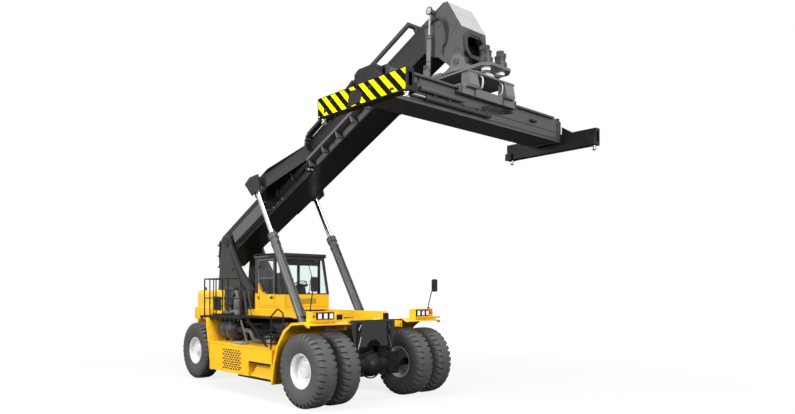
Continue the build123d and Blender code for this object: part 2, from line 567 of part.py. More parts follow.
for side, hand in ((-1, "right"), (1, "left")):
    with BuildPart() as knuckle:
        bar((STEER_X, side * KINGPIN_Y, TYRE_R - 115 + FIT),
            (STEER_X, side * KINGPIN_Y, TYRE_R + 115 - FIT), 75)
        pin(STEER_X, TYRE_R, (side * KINGPIN_Y, side * (STEER_Y + 60)), STEER_SHAFT_R)
        pin(STEER_X, TYRE_R, (side * (KINGPIN_Y + 90), side * (KINGPIN_Y + 125)), 160)
        block((STEER_X + 60, STEER_X + 300), (side * (KINGPIN_Y - 40), side * (KINGPIN_Y + 40)),
              (TYRE_R - 60, TYRE_R - 20))
    save(knuckle, f"knuckle_{hand}")


def lug_ring(plane, scale):
    """The tread's outline: LUGS lugs with a groove between each pair, shrunk by scale."""
    step = 2 * pi / LUGS
    tip = TYRE_R / cos(LUG_SPAN * step)
    points = []
    for lug in range(LUGS):
        for turn, radius in ((-LUG_SPAN, tip), (LUG_SPAN, tip), (0.5, TYRE_R - GROOVE)):
            angle = (lug + 0.5 + turn) * step
            points.append((scale * radius * cos(angle), scale * radius * sin(angle)))
    with BuildSketch(plane) as ring:
        with BuildLine():
            Polyline(*points, close=True)
        make_face()
    return ring.sketch


def tyre(x, y):
    """A tyre about the axle line at x, with its middle at y: lugs across it, sloping shoulders and a bore."""
    half = TYRE_W / 2
    at = [Plane(origin=(x, y + across, TYRE_R), x_dir=(1, 0, 0), z_dir=(0, 1, 0))
          for across in (-half, -half + SHOULDER, half - SHOULDER, half)]
    extrude(lug_ring(at[1], 1), amount=TYRE_W - 2 * SHOULDER)
    loft([lug_ring(at[0], SHOULDER_SCALE), lug_ring(at[1], 1)], ruled=True)
    loft([lug_ring(at[2], 1), lug_ring(at[3], SHOULDER_SCALE)], ruled=True)
    with BuildSketch(at[0]) as bore:
        RegularPolygon(RIM_R, BORE_SIDES, major_radius=False)
    extrude(bore.sketch, amount=TYRE_W, mode=Mode.SUBTRACT)


def rim(x, y, dish, bore):
    """A rim and its disc: dish is where the disc stands, from the rim's middle."""
    half = TYRE_W / 2 - 45
    with BuildSketch(Plane(origin=(x, y, TYRE_R), x_dir=(0, 1, 0), z_dir=(1, 0, 0))) as section:
        with BuildLine():
            Polyline((-half, RIM_R), (half, RIM_R), (half, RIM_R - 60), (half - 60, RIM_R - 90),
                     (dish + 20, RIM_R - 100), (dish + 20, bore), (dish - 20, bore), (dish - 20, RIM_R - 100),
                     (-half + 60, RIM_R - 90), (-half, RIM_R - 60), close=True)
        make_face()
    revolve(section.sketch, axis=Axis((x, y, TYRE_R), (0, 1, 0)))


for side, hand in ((-1, "right"), (1, "left")):
    with BuildPart() as drive_tyres:
        for y in (DUAL_IN_Y, DUAL_OUT_Y):
            tyre(DRIVE_X, side * y)
    save(drive_tyres, f"drive_tyres_{hand}")
    with BuildPart() as drive_rims:
        rim(DRIVE_X, side * DUAL_IN_Y, side * 150, DRIVE_SHAFT_R + FIT)
        rim(DRIVE_X, side * DUAL_OUT_Y, side * 20, DRIVE_SHAFT_R + FIT)
        pin(DRIVE_X, TYRE_R, (side * (DUAL_IN_Y + 170), side * (DUAL_OUT_Y + 20)), 300)
        pin(DRIVE_X, TYRE_R, (side * (DUAL_IN_Y + 120), side * (DUAL_OUT_Y + 5)), DRIVE_SHAFT_R + FIT,
            mode=Mode.SUBTRACT)
        pin(DRIVE_X, TYRE_R, (side * (DUAL_OUT_Y + 20), side * (DUAL_OUT_Y + 110)), HUB_R - 60)
    save(drive_rims, f"drive_rims_{hand}")
    with BuildPart() as steer_tyre:
        tyre(STEER_X, side * STEER_Y)
    save(steer_tyre, f"steer_tyre_{hand}")
    with BuildPart() as steer_rim:
        rim(STEER_X, side * STEER_Y, side * 40, STEER_SHAFT_R + FIT)
        pin(STEER_X, TYRE_R, (side * (STEER_Y + 60), side * (STEER_Y + 170)), 170)
        pin(STEER_X, TYRE_R, (side * (STEER_Y - 20), side * (STEER_Y + 90)), STEER_SHAFT_R + FIT,
            mode=Mode.SUBTRACT)
    save(steer_rim, f"steer_rim_{hand}")

# =====================================================================  boom
HALF_W = BOOM_W / 2
with BuildPart() as boom_outer:
    boom_block((-BOOM_TAIL, BOOM_FRONT), (-HALF_W, HALF_W), (FLOOR_W, TOP_W))
    boom_block((-BOOM_TAIL + BOOM_WALL, BOOM_FRONT + 10), (-HALF_W + BOOM_WALL, HALF_W - BOOM_WALL),
               (FLOOR_W + BOOM_WALL, TOP_W - BOOM_WALL), mode=Mode.SUBTRACT)
    boom_plate([(-BOOM_TAIL - 10, TOP_W + 10), (-BOOM_TAIL + 420, TOP_W + 10), (-BOOM_TAIL - 10, TOP_W - 330)],
               (-HALF_W - 10, HALF_W + 10), Mode.SUBTRACT)
    pin(PIVOT_X, PIVOT_Z, (-TOWER_IN - TOWER_T - 60, TOWER_IN + TOWER_T + 60), PIVOT_R)
    # wear collar at the mouth
    boom_block((BOOM_FRONT - 260, BOOM_FRONT), (-HALF_W - 25, HALF_W + 25), (FLOOR_W - 20, TOP_W + 20))
    boom_block((BOOM_FRONT - 300, BOOM_FRONT + 10), (-INNER_W / 2 - FIT, INNER_W / 2 + FIT),
               (INNER_LOW_W - FIT, INNER_TOP_W + FIT), mode=Mode.SUBTRACT)
save(boom_outer, "boom_outer")

CHEEK_GAP = LIFT_EYE_W / 2 + FIT
WING_OUT = LIFT_Y + CHEEK_GAP + 40
WING_REAR = 2500            # the horns that carry the rod eyes, along the boom from the pivot
WING_FRONT = 4740
with BuildPart() as boom_wings:
    for side in (-1, 1):
        # cheeks either side of the rod eye
        for low in (LIFT_Y - CHEEK_GAP - 40, LIFT_Y + CHEEK_GAP):
            boom_plate([(WING_REAR, 442), (2806, 472), (3196, 332), (3146, -68), (2686, -48)],
                       (side * low, side * (low + 40)))
        # top plate that tapers forward to the boom, with a slot over the rod eye
        with BuildSketch(Plane(origin=(PIVOT_X, 0, PIVOT_Z), x_dir=(cos(B), 0, sin(B)),
                               z_dir=(-sin(B), 0, cos(B))).offset(TOP_W - 20)):
            with BuildLine():
                Polyline((WING_REAR - 50, side * HALF_W), (WING_REAR, side * WING_OUT), (2880, side * WING_OUT),
                         (WING_FRONT, side * HALF_W), close=True)
            make_face()
            with Locations((3150, side * LIFT_Y)):
                Rectangle(900, 2 * CHEEK_GAP, mode=Mode.SUBTRACT)
        extrude(amount=20)
        # webs under it, square at the rear and oblique at the front
        with BuildSketch(Plane(origin=(PIVOT_X, 0, PIVOT_Z), x_dir=(cos(B), 0, sin(B)),
                               z_dir=(-sin(B), 0, cos(B))).offset(-30)):
            with BuildLine():
                Polyline((WING_REAR - 50, side * HALF_W), (WING_REAR + 60, side * (LIFT_Y - CHEEK_GAP)),
                         (WING_REAR + 90, side * (LIFT_Y - CHEEK_GAP)), (WING_REAR - 20, side * HALF_W), close=True)
            make_face()
            with BuildLine():
                Polyline((WING_FRONT, side * HALF_W), (3080, side * (LIFT_Y - CHEEK_GAP)),
                         (3020, side * (LIFT_Y - CHEEK_GAP)), (WING_FRONT - 60, side * HALF_W), close=True)
            make_face()
        extrude(amount=TOP_W + 12)
save(boom_wings, "boom_wings")

# tray along the right side of the boom for the energy chain
TRAY_W = FLOOR_W + 200
TRAY_OUT = HALF_W + 210
CHAIN_BEND_U = 5146
CHAIN_R = 340
CHAIN_T = 90
TRAY_REAR = 4770
CHAIN_END = 7250            # where the upper run meets its carrier
CARRIER_U = (9080, 9150)    # the carrier's post on the inner boom
CHAIN_Y = (-TRAY_OUT + 25, -HALF_W - 30)
with BuildPart() as chain_tray:
    boom_block((TRAY_REAR, BOOM_FRONT - 280), (-TRAY_OUT, -HALF_W), (TRAY_W, TRAY_W + 12))
    boom_block((TRAY_REAR, BOOM_FRONT - 280), (-TRAY_OUT, -TRAY_OUT + 12), (TRAY_W, TRAY_W + 70))
    for u in (4800, 5420, 6050, 6680, 7220):
        boom_block((u, u + 50), (-TRAY_OUT + 20, -HALF_W), (FLOOR_W + 20, TRAY_W))
save(chain_tray, "chain_tray")

with BuildPart() as hose_duct:
    boom_plate([(450, FLOOR_W + 120), (2420, FLOOR_W + 120), (2420, FLOOR_W + 480), (450, FLOOR_W + 480)],
               (-HALF_W - 150, -HALF_W))
    boom_plate([(520, FLOOR_W + 160), (2430, FLOOR_W + 160), (2430, FLOOR_W + 490), (520, FLOOR_W + 490)],
               (-HALF_W - 138, -HALF_W - 5), Mode.SUBTRACT)
save(hose_duct, "hose_duct")

with BuildPart() as energy_chain:
    low = TRAY_W + 12
    boom_block((CHAIN_BEND_U, 6400), CHAIN_Y, (low, low + CHAIN_T))
    boom_block((CHAIN_BEND_U, CHAIN_END), CHAIN_Y, (low + 2 * CHAIN_R - CHAIN_T, low + 2 * CHAIN_R))
    centre = boom_point(CHAIN_BEND_U, low + CHAIN_R)
    pin(*centre, CHAIN_Y, CHAIN_R)
    pin(*centre, CHAIN_Y, CHAIN_R - CHAIN_T, mode=Mode.SUBTRACT)
    boom_block((CHAIN_BEND_U, CHAIN_BEND_U + CHAIN_R + 10), CHAIN_Y,
               (low + CHAIN_T, low + 2 * CHAIN_R - CHAIN_T),
               mode=Mode.SUBTRACT)
save(energy_chain, "energy_chain")

INNER_HALF = INNER_W / 2
with BuildPart() as boom_inner:
    boom_block((INNER_REAR, INNER_TIP), (-INNER_HALF, INNER_HALF), (INNER_LOW_W, INNER_TOP_W))
    boom_block((INNER_REAR - 10, INNER_TIP - BOOM_WALL), (-INNER_HALF + BOOM_WALL, INNER_HALF - BOOM_WALL),
               (INNER_LOW_W + BOOM_WALL, INNER_TOP_W - BOOM_WALL), mode=Mode.SUBTRACT)
save(boom_inner, "boom_inner")

# boom nose: side plates down to the head pin, and a front plate with a wide opening
NOSE_OUT = INNER_HALF + 30
NOSE_R = 150                # lug round the head pin
DAMP_BASE = (HEAD_X - 756, HEAD_Z + 40)
DAMP_TOP = (HEAD_X - 706, HEAD_Z + 1240)
DAMP_Y = 470
DAMP_ROD_R = 24
DAMP_PIN_R = 30
DAMP_BARREL_R = 48
DAMP_EYE = 52               # how far the trunnion boss reaches out
DAMP_EYE_HALF = 40
NOSE_SHAPE = [(-950, 1040), (-800, 1125), (-765, 1250), (-706, 1300), (-645, 1250), (-610, 1213),
              (-316, 1350), (94, 700), (130, 80), (130, -80), (70, -150), (-70, -150), (-130, -110),
              (-556, 250), (-906, 350)]
NOSE_PLATE = [(-286, 1320), (94, 700), (130, 200), (95, 200), (62, 690), (-300, 1280)]
with BuildPart() as boom_nose:
    for y in sides(INNER_HALF, NOSE_OUT):
        side_plate([(HEAD_X + x, HEAD_Z + z) for x, z in NOSE_SHAPE], y)
    for y in sides(NOSE_OUT - 140, NOSE_OUT):
        pin(HEAD_X, HEAD_Z, y, NOSE_R)
    pin(HEAD_X, HEAD_Z, (-NOSE_OUT - 10, NOSE_OUT + 10), HEAD_PIN_R + FIT, mode=Mode.SUBTRACT)
    side_plate([(HEAD_X + x, HEAD_Z + z) for x, z in NOSE_PLATE], (-NOSE_OUT, NOSE_OUT))
    block((HEAD_X - 200, HEAD_X + 200), (-260, 260), (HEAD_Z + 150, HEAD_Z + 560), mode=Mode.SUBTRACT)
    for y in sides(NOSE_OUT, DAMP_Y - DAMP_EYE_HALF - FIT):
        pin(*DAMP_TOP, y, 45)
save(boom_nose, "boom_nose")

with BuildPart() as chain_carrier:
    rail_w = (TRAY_W + 12 + 2 * CHAIN_R - CHAIN_T, TRAY_W + 12 + 2 * CHAIN_R)
    boom_block((CHAIN_END + 50, CARRIER_U[1]), (CHAIN_Y[0] + 60, CHAIN_Y[0] + 120), rail_w)
    boom_block(CARRIER_U, (CHAIN_Y[0] + 60, INNER_HALF), rail_w)
    for y in sides(INNER_HALF - 60, INNER_HALF):
        boom_block(CARRIER_U, y, (INNER_TOP_W, rail_w[0]))
    boom_block((CHAIN_END + 20, CHAIN_END + 110), (CHAIN_Y[0] - 10, CHAIN_Y[1]),
               (rail_w[0] - 60, rail_w[1] + 30))
save(chain_carrier, "chain_carrier")

# =====================================================================  head and spreader
CHEEK_IN = NOSE_OUT + 15
CHEEK_T = 40
PLATE_TOP = HEAD_Z - 190
PLATE_LOW = PLATE_TOP - 60
PLATE_R = 600
MOTOR_X = 594               # the two slew motors stand ahead of the ring
MOTOR_Y = 225
with BuildPart() as slew_head:
    for y in sides(CHEEK_IN, CHEEK_IN + CHEEK_T):
        side_plate([(HEAD_X - 400, PLATE_TOP - 10), (HEAD_X + 400, PLATE_TOP - 10), (HEAD_X + 200, HEAD_Z - 70),
                    (HEAD_X + 150, HEAD_Z + 70), (HEAD_X + 70, HEAD_Z + 150), (HEAD_X - 70, HEAD_Z + 150),
                    (HEAD_X - 150, HEAD_Z + 70), (HEAD_X - 200, HEAD_Z - 70)], y)
    pin(HEAD_X, HEAD_Z, (-CHEEK_IN - CHEEK_T - 30, CHEEK_IN + CHEEK_T + 30), HEAD_PIN_R)
    with Locations((HEAD_X, 0, (PLATE_TOP + PLATE_LOW) / 2)):
        Cylinder(PLATE_R, PLATE_TOP - PLATE_LOW)
    plan_plate([(HEAD_X, -450), (HEAD_X + 640, -450), (HEAD_X + 800, -300), (HEAD_X + 800, 300),
                (HEAD_X + 640, 450), (HEAD_X, 450)], (PLATE_LOW, PLATE_TOP))
    for side in (-1, 1):
        x, y = HEAD_X + MOTOR_X, side * MOTOR_Y
        for low, high, radius in ((-50, 0, 85), (60, 200, 130), (200, 330, 100), (330, 440, 70)):
            bar((x, y, PLATE_LOW + low), (x, y, PLATE_LOW + high), radius)
        # outriggers for the levelling dampers
        block((HEAD_X - 830, HEAD_X - 300), (side * 425, side * 560), (PLATE_LOW, PLATE_TOP))
        side_plate([(HEAD_X - 830, PLATE_TOP - 10), (HEAD_X - 640, PLATE_TOP - 10), (HEAD_X - 700, HEAD_Z + 90),
                    (HEAD_X - 812, HEAD_Z + 90)], (side * 525, side * 555))
        pin(*DAMP_BASE, (side * (DAMP_Y + DAMP_ROD_R + 3 + FIT), side * 555), DAMP_PIN_R)
    with Locations((HEAD_X, 0, PLATE_LOW - 30)):
        Cylinder(RING_R - 80, 60)
save(slew_head, "slew_head")

FRAME_Z = PLATE_LOW - 140   # underside of the slewing ring's plate
BEAM_TOP = FRAME_Z - 310
BEAM_LOW = BEAM_TOP - BEAM_H
FLANGE_HALF = BEAM_W / 2 + 80
BEAM_FLOOR = 30
with BuildPart() as slew_frame:
    with Locations((HEAD_X, 0, PLATE_LOW - 55)):
        Cylinder(RING_R, 90)
    with Locations((HEAD_X, 0, PLATE_LOW - 50)):
        Cylinder(RING_R - 80 + FIT, 100, mode=Mode.SUBTRACT)
    with Locations((HEAD_X, 0, FRAME_Z + 20)):
        Box(1120, 1500, 40)
    with Locations((HEAD_X, 0, FRAME_Z + 25)):
        Cylinder(RING_R, 50)
    for x in (-1, 1):
        for y in (-1, 1):
            side_plate([(HEAD_X + x * 380, FRAME_Z + 10), (HEAD_X + x * 540, FRAME_Z + 10),
                        (HEAD_X + x * 600, BEAM_TOP + FIT), (HEAD_X + x * 380, BEAM_TOP + FIT)],
                       (y * 430, y * 720))
        block((HEAD_X + x * 300, HEAD_X + x * (FLANGE_HALF + 60)), (-900, 900), (BEAM_TOP + FIT, BEAM_TOP + 40))
        block((HEAD_X + x * (FLANGE_HALF + CLEAR), HEAD_X + x * (FLANGE_HALF + 60)), (-900, 900),
              (BEAM_TOP - 130, BEAM_TOP + 40))
        block((HEAD_X + x * (BEAM_W / 2 + CLEAR), HEAD_X + x * (FLANGE_HALF + 60)), (-900, 900),
              (BEAM_TOP - 130, BEAM_TOP - 40 - CLEAR))
save(slew_frame, "slew_frame")

with BuildPart() as spreader_beam:
    block((HEAD_X - BEAM_W / 2, HEAD_X + BEAM_W / 2), (-BEAM_HALF, BEAM_HALF), (BEAM_LOW, BEAM_TOP))
    block((HEAD_X - FLANGE_HALF, HEAD_X + FLANGE_HALF), (-BEAM_HALF + 300, BEAM_HALF - 300),
          (BEAM_TOP - 40, BEAM_TOP))
    for x in (-1, 1):
        block((HEAD_X + x * 8, HEAD_X + x * (BEAM_W / 2 - 20)), (-BEAM_HALF - 10, BEAM_HALF + 10),
              (BEAM_LOW + BEAM_FLOOR, BEAM_TOP - 50), mode=Mode.SUBTRACT)
    bar((HEAD_X + BEAM_W / 2 + 60, -1900, BEAM_TOP - 250), (HEAD_X + BEAM_W / 2 + 60, -700, BEAM_TOP - 250), 45)
    for y in (-1850, -760):
        block((HEAD_X + BEAM_W / 2, HEAD_X + BEAM_W / 2 + 60), (y - 30, y + 30),
              (BEAM_TOP - 290, BEAM_TOP - 210))
save(spreader_beam, "spreader_beam")

END_LOW = BEAM_LOW - 165
ARM_LOW = BEAM_LOW + BEAM_FLOOR + FIT
for side, hand in ((-1, "right"), (1, "left")):
    with BuildPart() as spreader_arm:
        lane = HEAD_X + side * (BEAM_W / 4 - 6)
        block((lane - ARM_W / 2, lane + ARM_W / 2), (-side * (BEAM_HALF - 150), side * (SPREAD_HALF - END_T)),
              (ARM_LOW, ARM_LOW + ARM_H))
        block((lane - ARM_W / 2 + 15, lane + ARM_W / 2 - 15),
              (-side * (BEAM_HALF - 140), side * (SPREAD_HALF - END_T - 200)),
              (ARM_LOW + 15, ARM_LOW + ARM_H - 15), mode=Mode.SUBTRACT)
        # head that joins the arm to its end beam
        side_plate([(HEAD_X - 330, ARM_LOW - 20), (HEAD_X + 330, ARM_LOW - 20), (HEAD_X + 330, BEAM_TOP - 30),
                    (HEAD_X + 220, BEAM_TOP + 40), (HEAD_X - 220, BEAM_TOP + 40), (HEAD_X - 330, BEAM_TOP - 30)],
                   (side * (BEAM_HALF + 60), side * (SPREAD_HALF - END_T)))
        block((HEAD_X - END_HALF, HEAD_X + END_HALF), (side * (SPREAD_HALF - END_T), side * SPREAD_HALF),
              (END_LOW, END_LOW + END_H))
        for x in (-LOCK_X, LOCK_X):
            block((HEAD_X + x - 89, HEAD_X + x + 89), (side * (LOCK_Y - 160), side * (LOCK_Y + 93)),
                  (END_LOW - 12, END_LOW + 150))
            bar((HEAD_X + x, side * LOCK_Y, END_LOW - 75), (HEAD_X + x, side * LOCK_Y, END_LOW), 31)
            with BuildSketch(Plane.XY.offset(END_LOW - 120)):
                with Locations((HEAD_X + x, side * LOCK_Y)):
                    Rectangle(52, 104)
            extrude(amount=48)
    save(spreader_arm, f"spreader_arm_{hand}")

# =====================================================================  cylinders
def along(start, end, distance):
    """The (x, z) point at a distance from start towards end."""
    run = ((end[0] - start[0]) ** 2 + (end[1] - start[1]) ** 2) ** 0.5
    return (start[0] + (end[0] - start[0]) * distance / run, start[1] + (end[1] - start[1]) * distance / run)


LIFT_RUN = ((LIFT_EYE[0] - LIFT_BASE[0]) ** 2 + (LIFT_EYE[1] - LIFT_BASE[1]) ** 2) ** 0.5
LIFT_TOP = along(LIFT_BASE, LIFT_EYE, LIFT_BARREL_L)
with BuildPart() as lift_barrels:
    for side in (-1, 1):
        y = side * LIFT_Y
        bar((LIFT_BASE[0], y, LIFT_BASE[1]), (LIFT_TOP[0], y, LIFT_TOP[1]), LIFT_BARREL_R)
        collar = along(LIFT_BASE, LIFT_EYE, LIFT_BARREL_L - 160)
        bar((collar[0], y, collar[1]), (LIFT_TOP[0], y, LIFT_TOP[1]), LIFT_BARREL_R + 18)
        bottom = along(LIFT_BASE, LIFT_EYE, 260)
        bar((bottom[0], y, bottom[1]), (LIFT_TOP[0], y, LIFT_TOP[1]), LIFT_ROD_R + FIT, mode=Mode.SUBTRACT)
        pin(*LIFT_BASE, (y - 95, y + 95), 125)
        pin(*LIFT_BASE, (y - 130, y + 130), LIFT_PIN_R + FIT, mode=Mode.SUBTRACT)
save(lift_barrels, "lift_barrels")

with BuildPart() as lift_rods:
    foot = along(LIFT_BASE, LIFT_EYE, LIFT_RUN - LIFT_BARREL_L + 120)
    for side in (-1, 1):
        y = side * LIFT_Y
        bar((foot[0], y, foot[1]), (LIFT_EYE[0], y, LIFT_EYE[1]), LIFT_ROD_R)
        pin(*LIFT_EYE, (y - LIFT_EYE_W / 2, y + LIFT_EYE_W / 2), LIFT_EYE_R)
save(lift_rods, "lift_rods")

DAMP_LOW = along(DAMP_BASE, DAMP_TOP, -150)
DAMP_BARREL = along(DAMP_BASE, DAMP_TOP, 690)
DAMP_HOLE = along(DAMP_BASE, DAMP_TOP, -115)
DAMP_MOUTH = along(DAMP_BASE, DAMP_TOP, 700)
DAMP_FOOT = along(DAMP_BASE, DAMP_TOP, 345)
with BuildPart() as damper_barrels:
    for side in (-1, 1):
        y = side * DAMP_Y
        bar((DAMP_LOW[0], y, DAMP_LOW[1]), (DAMP_BARREL[0], y, DAMP_BARREL[1]), DAMP_BARREL_R)
        # trunnion boss on the outer side
        pin(*DAMP_BASE, (y, side * (DAMP_Y + DAMP_EYE)), DAMP_PIN_R + 25)
        pin(*DAMP_BASE, (side * (DAMP_Y + DAMP_ROD_R + 3), side * (DAMP_Y + DAMP_EYE + 10)), DAMP_PIN_R + FIT,
            mode=Mode.SUBTRACT)
        bar((DAMP_HOLE[0], y, DAMP_HOLE[1]), (DAMP_MOUTH[0], y, DAMP_MOUTH[1]), DAMP_ROD_R + FIT,
            mode=Mode.SUBTRACT)
save(damper_barrels, "damper_barrels")

with BuildPart() as damper_rods:
    for side in (-1, 1):
        y = side * DAMP_Y
        bar((DAMP_FOOT[0], y, DAMP_FOOT[1]), (DAMP_TOP[0], y, DAMP_TOP[1]), DAMP_ROD_R)
        pin(*DAMP_TOP, (y - DAMP_EYE_HALF, y + DAMP_EYE_HALF), 65)
save(damper_rods, "damper_rods")
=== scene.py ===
"""Looks of the reach stacker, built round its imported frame. Metres, +X forward, +Y left, +Z up."""
import json
import math

import bmesh
import bpy
from mathutils import Matrix, Vector


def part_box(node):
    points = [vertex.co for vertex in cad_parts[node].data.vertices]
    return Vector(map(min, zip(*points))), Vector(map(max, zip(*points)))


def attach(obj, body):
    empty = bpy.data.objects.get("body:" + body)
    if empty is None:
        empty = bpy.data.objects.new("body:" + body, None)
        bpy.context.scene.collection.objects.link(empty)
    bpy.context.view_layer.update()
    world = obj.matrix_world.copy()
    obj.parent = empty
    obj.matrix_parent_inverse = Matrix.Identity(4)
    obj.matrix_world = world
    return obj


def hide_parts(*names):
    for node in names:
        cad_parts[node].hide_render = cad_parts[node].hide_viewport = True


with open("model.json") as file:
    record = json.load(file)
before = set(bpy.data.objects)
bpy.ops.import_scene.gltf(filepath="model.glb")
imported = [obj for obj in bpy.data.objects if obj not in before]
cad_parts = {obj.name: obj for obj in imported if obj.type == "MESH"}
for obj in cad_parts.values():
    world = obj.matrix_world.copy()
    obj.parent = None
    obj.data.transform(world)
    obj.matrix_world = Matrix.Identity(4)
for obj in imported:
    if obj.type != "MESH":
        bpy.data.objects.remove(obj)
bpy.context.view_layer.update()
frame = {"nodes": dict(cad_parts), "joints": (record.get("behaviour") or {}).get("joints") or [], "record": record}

# ------------------ places, read from the frame
JOINT = {j["name"]: j for j in frame["joints"]}


def middle(node):
    low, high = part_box(node)
    return (Vector(low) + Vector(high)) / 2


DRIVE = middle("drive_tyres_right")
STEER = middle("steer_tyre_right")
DX, SX, AXLE_Z = DRIVE.x, STEER.x, DRIVE.z
PIVOT = Vector(JOINT["boom_lift"]["pos_m"])
HEAD = Vector(JOINT["head_level"]["pos_m"])
HX, HZ = HEAD.x, HEAD.z      # the pin that the spreader hangs from
RISE = math.atan2(JOINT["boom_extend"]["axis"][2], JOINT["boom_extend"]["axis"][0])
TYRE_R = 0.845
DUALS = (1.17, 1.84)
STEER_Y = 1.29
# from (along, left, above) on the boom to the frame
BOOM = Matrix.Translation(PIVOT) @ Matrix.Rotation(-RISE, 4, "Y")


# ------------------ shader node groups and materials
def socket(group, name, kind, way="INPUT", value=None):
    made = group.interface.new_socket(name, in_out=way, socket_type=kind)
    if value is not None:
        made.default_value = value
    return made


def group_tree(name, inputs, outputs):
    """A shader node group with its sockets, and its input and output nodes."""
    group = bpy.data.node_groups.new(name, "ShaderNodeTree")
    for label, kind, value in inputs:
        socket(group, label, kind, value=value)
    for label, kind in outputs:
        socket(group, label, kind, "OUTPUT")
    return group, group.nodes.new("NodeGroupInput"), group.nodes.new("NodeGroupOutput")


def add(tree, kind, **settings):
    """A node of that kind, with its own settings, such as its operation."""
    node = tree.nodes.new(kind)
    for key, value in settings.items():
        setattr(node, key, value)
    return node


def plug(tree, source, target):
    """Links an output to an input."""
    tree.links.new(source, target)


def fill(node, **values):
    """Sets a node's inputs by name, with an underscore for each space."""
    for key, value in values.items():
        node.inputs[key.replace("_", " ")].default_value = value
    return node


def noise(tree, vector, scale, detail=4.0, rough=0.55):
    node = fill(add(tree, "ShaderNodeTexNoise"), Scale=scale, Detail=detail, Roughness=rough)
    plug(tree, vector, node.inputs["Vector"])
    return node


def ramp(tree, source, stops):
    """A colour ramp fed by source, from (place, grey value or colour) stops."""
    node = add(tree, "ShaderNodeValToRGB")
    while len(node.color_ramp.elements) < len(stops):
        node.color_ramp.elements.new(0.5)
    for element, (place, value) in zip(node.color_ramp.elements, stops):
        element.position = place
        element.color = (value, value, value, 1) if isinstance(value, (int, float)) else value
    plug(tree, source, node.inputs["Fac"])
    return node


# the colour sockets of a Mix node, by their place among all its kinds of socket
MIX_FACTOR, MIX_FIRST, MIX_SECOND, MIX_RESULT = 0, 6, 7, 2


def blend_colour(tree, factor, first, second):
    """From the first colour to the second as factor goes from 0 to 1."""
    node = add(tree, "ShaderNodeMix", data_type="RGBA")
    for place, value in ((MIX_FACTOR, factor), (MIX_FIRST, first), (MIX_SECOND, second)):
        if hasattr(value, "is_output"):
            plug(tree, value, node.inputs[place])
        else:
            node.inputs[place].default_value = value
    return node.outputs[MIX_RESULT]


def sums(tree, operation, first, second=0.0, third=0.0):
    """One step of arithmetic on numbers or outputs."""
    node = add(tree, "ShaderNodeMath", operation=operation)
    for place, value in enumerate((first, second, third)):
        if hasattr(value, "is_output"):
            plug(tree, value, node.inputs[place])
        else:
            node.inputs[place].default_value = value
    return node.outputs[0]


DUST = (0.42, 0.38, 0.32, 1)
COAT_ROUGHNESS = 0.12


def build_finish_group():
    """Colour drift, dust on upward faces, grain and roughness drift, for every painted or cast finish."""
    group, start, end = group_tree("worn_finish", [
        ("Color", "NodeSocketColor", (0.5, 0.5, 0.5, 1)), ("Dust", "NodeSocketFloat", 0.1),
        ("Dust Color", "NodeSocketColor", DUST), ("Drift", "NodeSocketFloat", 0.06),
        ("Roughness", "NodeSocketFloat", 0.4), ("Grain Scale", "NodeSocketFloat", 60.0)],
        [("Color", "NodeSocketColor"), ("Roughness", "NodeSocketFloat"), ("Height", "NodeSocketFloat")])
    place = add(group, "ShaderNodeTexCoord")
    geometry = add(group, "ShaderNodeNewGeometry")
    broad = noise(group, place.outputs["Object"], 1.7, 5)
    patch = noise(group, place.outputs["Object"], 9.0, 6, 0.65)
    grain = fill(add(group, "ShaderNodeTexNoise"), Detail=3.0)
    plug(group, place.outputs["Object"], grain.inputs["Vector"])
    plug(group, start.outputs["Grain Scale"], grain.inputs["Scale"])
    # darker and lighter clouds
    shade = sums(group, "MULTIPLY_ADD", broad.outputs["Fac"], start.outputs["Drift"],
                 sums(group, "MULTIPLY_ADD", start.outputs["Drift"], -0.5, 1.0))
    tinted = add(group, "ShaderNodeVectorMath", operation="SCALE")
    plug(group, start.outputs["Color"], tinted.inputs[0])
    plug(group, shade, tinted.inputs["Scale"])
    # dust lies on what faces up, in patches
    normal = add(group, "ShaderNodeSeparateXYZ")
    plug(group, geometry.outputs["Normal"], normal.inputs[0])
    up = ramp(group, normal.outputs["Z"], [(0.25, 0.0), (0.95, 1.0)]).outputs["Color"]
    blotch = ramp(group, patch.outputs["Fac"], [(0.35, 0.25), (0.7, 1.0)]).outputs["Color"]
    lying = sums(group, "MULTIPLY", sums(group, "MULTIPLY", up, blotch), start.outputs["Dust"])
    plug(group, blend_colour(group, lying, tinted.outputs[0], start.outputs["Dust Color"]),
         end.inputs["Color"])
    rough = sums(group, "MULTIPLY_ADD", patch.outputs["Fac"], 0.18,
                 sums(group, "SUBTRACT", start.outputs["Roughness"], 0.09))
    plug(group, sums(group, "MULTIPLY_ADD", lying, 0.4, rough), end.inputs["Roughness"])
    plug(group, sums(group, "MULTIPLY_ADD", grain.outputs["Fac"], 0.6,
                     sums(group, "MULTIPLY", broad.outputs["Fac"], 0.4)), end.inputs["Height"])
    return group


FINISH = build_finish_group()


